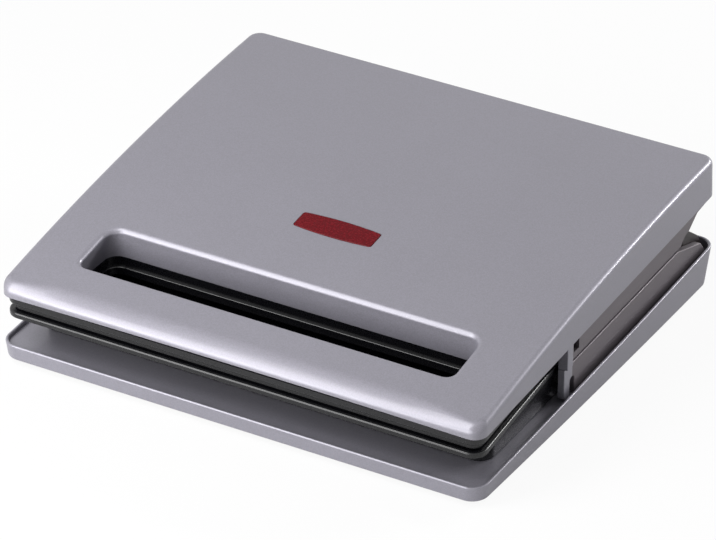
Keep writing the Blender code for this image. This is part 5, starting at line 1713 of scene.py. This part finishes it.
@dataclass
class BottomCover:
    """Textured bottom cover with two banks of vents and four screw wells."""

    finishes: Finishes
    tray: Tray
    inset: float = 2.6 * MM
    thickness: float = 2.2 * MM
    vent_width: float = 3.0 * MM
    vent_length: float = 42.0 * MM
    vent_pitch: float = 8.5 * MM
    vent_count: int = 6
    vent_x: float = 55.0 * MM
    vent_y: float = 20.0 * MM
    well_radius: float = 3.4 * MM
    well_depth: float = 1.4 * MM
    edge_round: float = 0.4 * MM
    over: float = 2.0 * MM

    def vent(self, x: float, y: float) -> bpy.types.Object:
        """Cutter for one vent about its middle.

        Args:
            x: X of its middle.
            y: Y of its middle.

        Returns:
            The cutter.
        """
        half = Vector((self.vent_length / 2, self.vent_width / 2, 0.0))
        low = Vector((x, y, self.tray.standing - self.over)) - half
        high = Vector((x, y, self.tray.standing + self.thickness + self.over)) + half
        return rounded_block("vent", low, high, self.vent_width * 0.49).off()

    def build(self) -> None:
        """Models the cover and sets it in the tray."""
        standing = self.tray.standing
        front = LEVELS.tray_front + self.inset
        rear = LEVELS.tray_front + LEVELS.tray_depth - self.inset
        half = self.tray.half_width - self.inset
        bench = Bench("bottom_cover").sheet(-half, half, front, rear, standing)
        bench.round_corners(self.tray.corner - self.inset, 8).score(1, spread(front, rear, 15))
        bench.everything().extrude(z=self.thickness).face_out()
        bench.pick_sharp(lambda middle: middle.z < standing + self.thickness / 2).bevel(self.edge_round, 3)
        cover = bench.mould(self.tray.lean).off()
        for side in Side:
            for row in range(self.vent_count):
                y = self.vent_y + (row - (self.vent_count - 1) / 2) * self.vent_pitch
                combine(cover, self.vent(side.value * self.vent_x, y), Operation.CUT)
        for place in Screws.places("cover_screw"):
            well = cylinder("screw_well", Vector((place.x, place.y, standing)), self.well_radius,
                            2 * self.well_depth, 2, 48)
            combine(cover, well, Operation.CUT)
        smooth(cover)
        place_piece(cover, Body.BASE, "cover_plastic", self.finishes.cover, "base_cover")


def turned(name: str, profile: Iterable[tuple[float, float]], steps: int = 48) -> bpy.types.Object:
    """A turned piece about Z.

    Args:
        name: Name of the piece.
        profile: Radius and height of each point of its outline.
        steps: Number of steps round it.

    Returns:
        The piece.
    """
    bench = Bench(name).trace([Vector((radius, 0.0, height)) for radius, height in profile], closed=False)
    return bench.spin(steps).off()


def quarter_arc(inner: float, wide: float, tall: float, steps: int) -> list[tuple[float, float]]:
    """Part of a turned outline that runs in to its lowest point, along a quarter of an ellipse.

    Args:
        inner: Radius at its lowest point.
        wide: How much wider it is at its top.
        tall: Its height.
        steps: Number of steps along it.

    Returns:
        Radius and height of each point.
    """
    turns = [math.pi / 2 * step / steps for step in range(steps + 1)]
    return [(inner + wide * math.cos(turn), tall * (1.0 - math.sin(turn))) for turn in turns]


def under(node: str) -> Vector:
    """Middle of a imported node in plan, at the height of its lowest point."""
    low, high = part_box(node)
    return Vector(((low[0] + high[0]) / 2, (low[1] + high[1]) / 2, low[2]))


def set_at(item: bpy.types.Object, name: str, place: Vector) -> bpy.types.Object:
    """A copy of a piece with its own mesh, its place in the mesh.

    Args:
        item: The piece at the origin.
        name: Name of the copy.
        place: Where the copy goes.

    Returns:
        The copy.
    """
    copy = copied(item, name)
    hold(copy)
    copy.location = place
    bpy.ops.object.transform_apply(location=True, rotation=False, scale=False)
    return copy


@dataclass
class Feet:
    """Rubber feet with a moulded ring in the sole."""

    finishes: Finishes
    radius: float = 8.0 * MM
    edge_round: float = 0.8 * MM
    top: float = 2.7 * MM
    stem_radius: float = 3.0 * MM
    stem_height: float = 3.8 * MM
    ring_inner: float = 4.2 * MM
    ring_outer: float = 5.4 * MM
    ring_depth: float = 0.5 * MM

    def build(self) -> None:
        """Turns one foot and sets four of them."""
        stem_top = self.top + self.stem_height
        arc = quarter_arc(self.radius - self.edge_round, self.edge_round, self.edge_round, 5)
        profile = [(0.0, stem_top), (self.stem_radius, stem_top), (self.stem_radius, self.top),
                   (self.radius, self.top), *arc, (self.ring_outer, 0.0), (self.ring_outer, self.ring_depth),
                   (self.ring_inner, self.ring_depth), (self.ring_inner, 0.0), (0.0, 0.0)]
        foot = turned("foot", profile)
        smooth(foot)
        for index in range(1, 5):
            place = under(f"foot_{index}")
            place.z = 0.0
            copy = set_at(foot, f"rubber_foot_{index}", place)
            place_piece(copy, Body.BASE, "rubber", self.finishes.rubber, f"foot_{index}")
        bpy.data.objects.remove(foot, do_unlink=True)


@dataclass
class Screws:
    """Pan-head screws with a cross recess, eight of one kind."""

    finishes: Finishes
    head_radius: float = 3.1 * MM
    head_height: float = 1.1 * MM
    shank_radius: float = 1.5 * MM
    tip_radius: float = 0.9 * MM
    tip_share: float = 0.15
    dome_share: float = 0.55
    recess_half: float = 1.55 * MM
    recess_width: float = 0.8 * MM
    recess_depth: float = 0.75 * MM

    @staticmethod
    def places(kind: str) -> list[Vector]:
        """Middle of each screw head's outer face, for one kind of screw."""
        return [under(f"{kind}_{index}") for index in range(1, 5)]

    def screw(self, name: str, length: float) -> bpy.types.Object:
        """One screw, head down, its head's face on zero.

        Args:
            name: Name of the screw.
            length: Its whole length.

        Returns:
            The screw.
        """
        dome = quarter_arc(0.0, self.head_radius, self.head_height * self.dome_share, 6)
        profile = [(0.0, length), (self.tip_radius, length),
                   (self.shank_radius, length * (1.0 - self.tip_share)),
                   (self.shank_radius, self.head_height), (self.head_radius, self.head_height), *dome]
        item = turned(name, profile, 36)
        thin = self.recess_width / 2
        for wide, deep in ((self.recess_half, thin), (thin, self.recess_half)):
            bench = rounded_block("cross_recess", Vector((-wide, -deep, -self.head_height)),
                                  Vector((wide, deep, self.recess_depth)), 0.0)
            combine(item, bench.off(), Operation.CUT)
        smooth(item)
        return item

    def build(self) -> None:
        """Sets the cover's and the lid's screws."""
        for kind, body in (("cover_screw", Body.BASE), ("lid_screw", Body.LID)):
            low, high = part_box(f"{kind}_1")
            pattern = self.screw(kind, high[2] - low[2])
            for index, place in enumerate(self.places(kind), 1):
                copy = set_at(pattern, f"cross_{kind}_{index}", place)
                place_piece(copy, body, "zinc_plated_steel", self.finishes.zinc, f"{kind}_{index}")
            bpy.data.objects.remove(pattern, do_unlink=True)


@dataclass(frozen=True)
class Studio:
    """Camera at the photograph's place, soft lamps, a pale floor and a white surround."""

    azimuth: float = 30.044
    elevation: float = 30.402
    roll: float = -0.156
    focal_px: float = 5245.431
    photo_width_px: float = 716.0
    distance: float = 2515.557 * MM
    shift_x: float = 1.889 * MM
    shift_y: float = 25.139 * MM
    sensor: float = 36.0
    floor_glow: float = 0.92
    floor_mirrored: float = 0.12
    fill: float = 0.2
    floor_half: float = 4.0

    def camera(self) -> None:
        """Sets up the camera from the fitted view."""
        az, el, roll = (math.radians(angle) for angle in (self.azimuth, self.elevation, self.roll))
        ahead = Vector((-math.sin(az) * math.cos(el), math.cos(az) * math.cos(el), -math.sin(el)))
        right = Vector((math.cos(az), math.sin(az), 0.0))
        down = ahead.cross(right)
        across = right * math.cos(roll) + down * math.sin(roll)
        below = down * math.cos(roll) - right * math.sin(roll)
        turn = Matrix((across, -below, -ahead)).transposed()
        place = -self.shift_x * across - self.shift_y * below - self.distance * ahead
        data = bpy.data.cameras.new("camera")
        data.sensor_width = self.sensor
        data.lens = self.focal_px / self.photo_width_px * self.sensor
        data.clip_start = 0.1
        data.clip_end = 20.0
        camera = bpy.data.objects.new("camera", data)
        camera.matrix_world = Matrix.Translation(place) @ turn.to_4x4()
        bpy.context.scene.collection.objects.link(camera)
        bpy.context.scene.camera = camera

    def lamp(self, name: str, place: Vector, aim: Vector, size: tuple[float, float], power: float) -> None:
        """Adds one soft area lamp.

        Args:
            name: Name of the lamp.
            place: Where it hangs.
            aim: The point that it faces.
            size: Its width and height.
            power: Its power in watts.
        """
        data = bpy.data.lights.new(name, "AREA")
        data.shape = "RECTANGLE"
        data.size, data.size_y = size
        data.energy = power
        lamp = bpy.data.objects.new(name, data)
        lamp.location = place
        lamp.rotation_euler = (aim - place).to_track_quat("-Z", "Y").to_euler()
        bpy.context.scene.collection.objects.link(lamp)

    def seen(self, tree: bpy.types.NodeTree) -> bpy.types.NodeSocket:
        """One for a ray that shows the surround itself, straight, mirrored or through glass.

        Args:
            tree: The node tree.

        Returns:
            The value's socket.
        """
        path = add_node(tree, "LightPath").outputs
        both = add_node(tree, "Math", {0: path["Is Camera Ray"], 1: path["Is Glossy Ray"]},
                        operation="MAXIMUM")
        every = add_node(tree, "Math", {0: both.outputs[0], 1: path["Is Transmission Ray"]},
                         operation="MAXIMUM")
        return every.outputs[0]

    def floor(self) -> None:
        """Pale floor that shows white and keeps the shadow."""
        half = self.floor_half
        floor = Bench("floor").sheet(-half, half, -half, half).off()
        surface = bpy.data.materials.new("white paper")
        surface.use_nodes = True
        tree = surface.node_tree
        shader = tree.nodes["Principled BSDF"]
        shader.inputs["Base Color"].default_value = linear("F4F4F4")
        shader.inputs["Roughness"].default_value = 0.9
        glow = add_node(tree, "Emission", {"Color": (1.0, 1.0, 1.0, 1.0), "Strength": 1.0})
        path = add_node(tree, "LightPath")
        bounced = add_node(tree, "Math", {0: self.seen(tree), 1: self.floor_mirrored}, operation="MULTIPLY")
        straight = add_node(tree, "Math", {0: path.outputs["Is Camera Ray"], 1: self.floor_glow},
                            operation="MULTIPLY")
        share = add_node(tree, "Math", {0: bounced.outputs[0], 1: straight.outputs[0]}, operation="MAXIMUM")
        mix = add_node(tree, "MixShader", {"Fac": share.outputs[0], 1: shader.outputs[0], 2: glow.outputs[0]})
        tree.links.new(mix.outputs[0], tree.nodes["Material Output"].inputs["Surface"])
        dress(floor, surface)

    def world(self) -> None:
        """White to the camera, a softer grey to everything else."""
        world = bpy.data.worlds.new("studio")
        bpy.context.scene.world = world
        world.use_nodes = True
        tree = world.node_tree
        plain = tree.nodes["Background"]
        plain.inputs["Color"].default_value = (1.0, 1.0, 1.0, 1.0)
        plain.inputs["Strength"].default_value = self.fill
        white = add_node(tree, "Background", {"Color": (1.0, 1.0, 1.0, 1.0), "Strength": 1.0})
        mix = add_node(tree, "MixShader", {"Fac": self.seen(tree), 1: plain.outputs[0], 2: white.outputs[0]})
        tree.links.new(mix.outputs[0], tree.nodes["World Output"].inputs["Surface"])

    def build(self) -> None:
        """Sets up the whole studio."""
        self.camera()
        self.floor()
        self.world()
        aim = Vector((0.0, 0.0, 0.03))
        self.lamp("front softbox", Vector((-0.45, -1.2, 0.22)), aim, (1.2, 0.35), 8.2)
        self.lamp("key softbox", Vector((-0.32, -0.5, 0.5)), aim, (0.4, 0.8), 6.0)
        self.lamp("edge strip", Vector((0.75, 1.2, 0.65)), aim, (0.8, 0.1), 14.0)
        bpy.context.scene.view_settings.view_transform = "Standard"


def carried_over(finishes: Finishes) -> None:
    """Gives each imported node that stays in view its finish.

    Args:
        finishes: All finishes.
    """
    table = (
        (finishes.sheath, ("lower_element", "upper_element")),
        (finishes.sheet, ("lower_reflector", "upper_reflector")),
        (finishes.zinc, ("thermostat", "thermal_fuse", "left_hinge_pin", "right_hinge_pin")),
        (finishes.ivory, ("terminal_block", "lamp_holder")),
        (finishes.rubber, ("cord_gland",)),
        (finishes.glass, ("power_lamp", "ready_lamp")),
    )
    for finish, names in table:
        for name in names:
            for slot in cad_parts[name].material_slots:
                slot.material = finish
            LOG.info("%s: %s", name, finish.name)


def main() -> None:
    """Builds the studio and dresses the sandwich maker."""
    logging.basicConfig(level=logging.INFO, format="%(name)s: %(message)s")
    Studio().build()
    finishes = Finishes()
    carried_over(finishes)
    tray = Tray(finishes)
    casing = LidCasing(finishes)
    plan = FramePlan()
    for assembly in (tray, BottomCover(finishes, tray), Feet(finishes), LowerFrame(finishes, plan),
                     SideCovers(finishes), HingeHousings(finishes), casing, Skirts(finishes),
                     UpperFrame(finishes, plan, casing), SandwichPlates(finishes), Indicator(finishes),
                     Screws(finishes)):
        assembly.build()
        LOG.info("%s done", type(assembly).__name__)


if __name__ == "__main__":
    main()
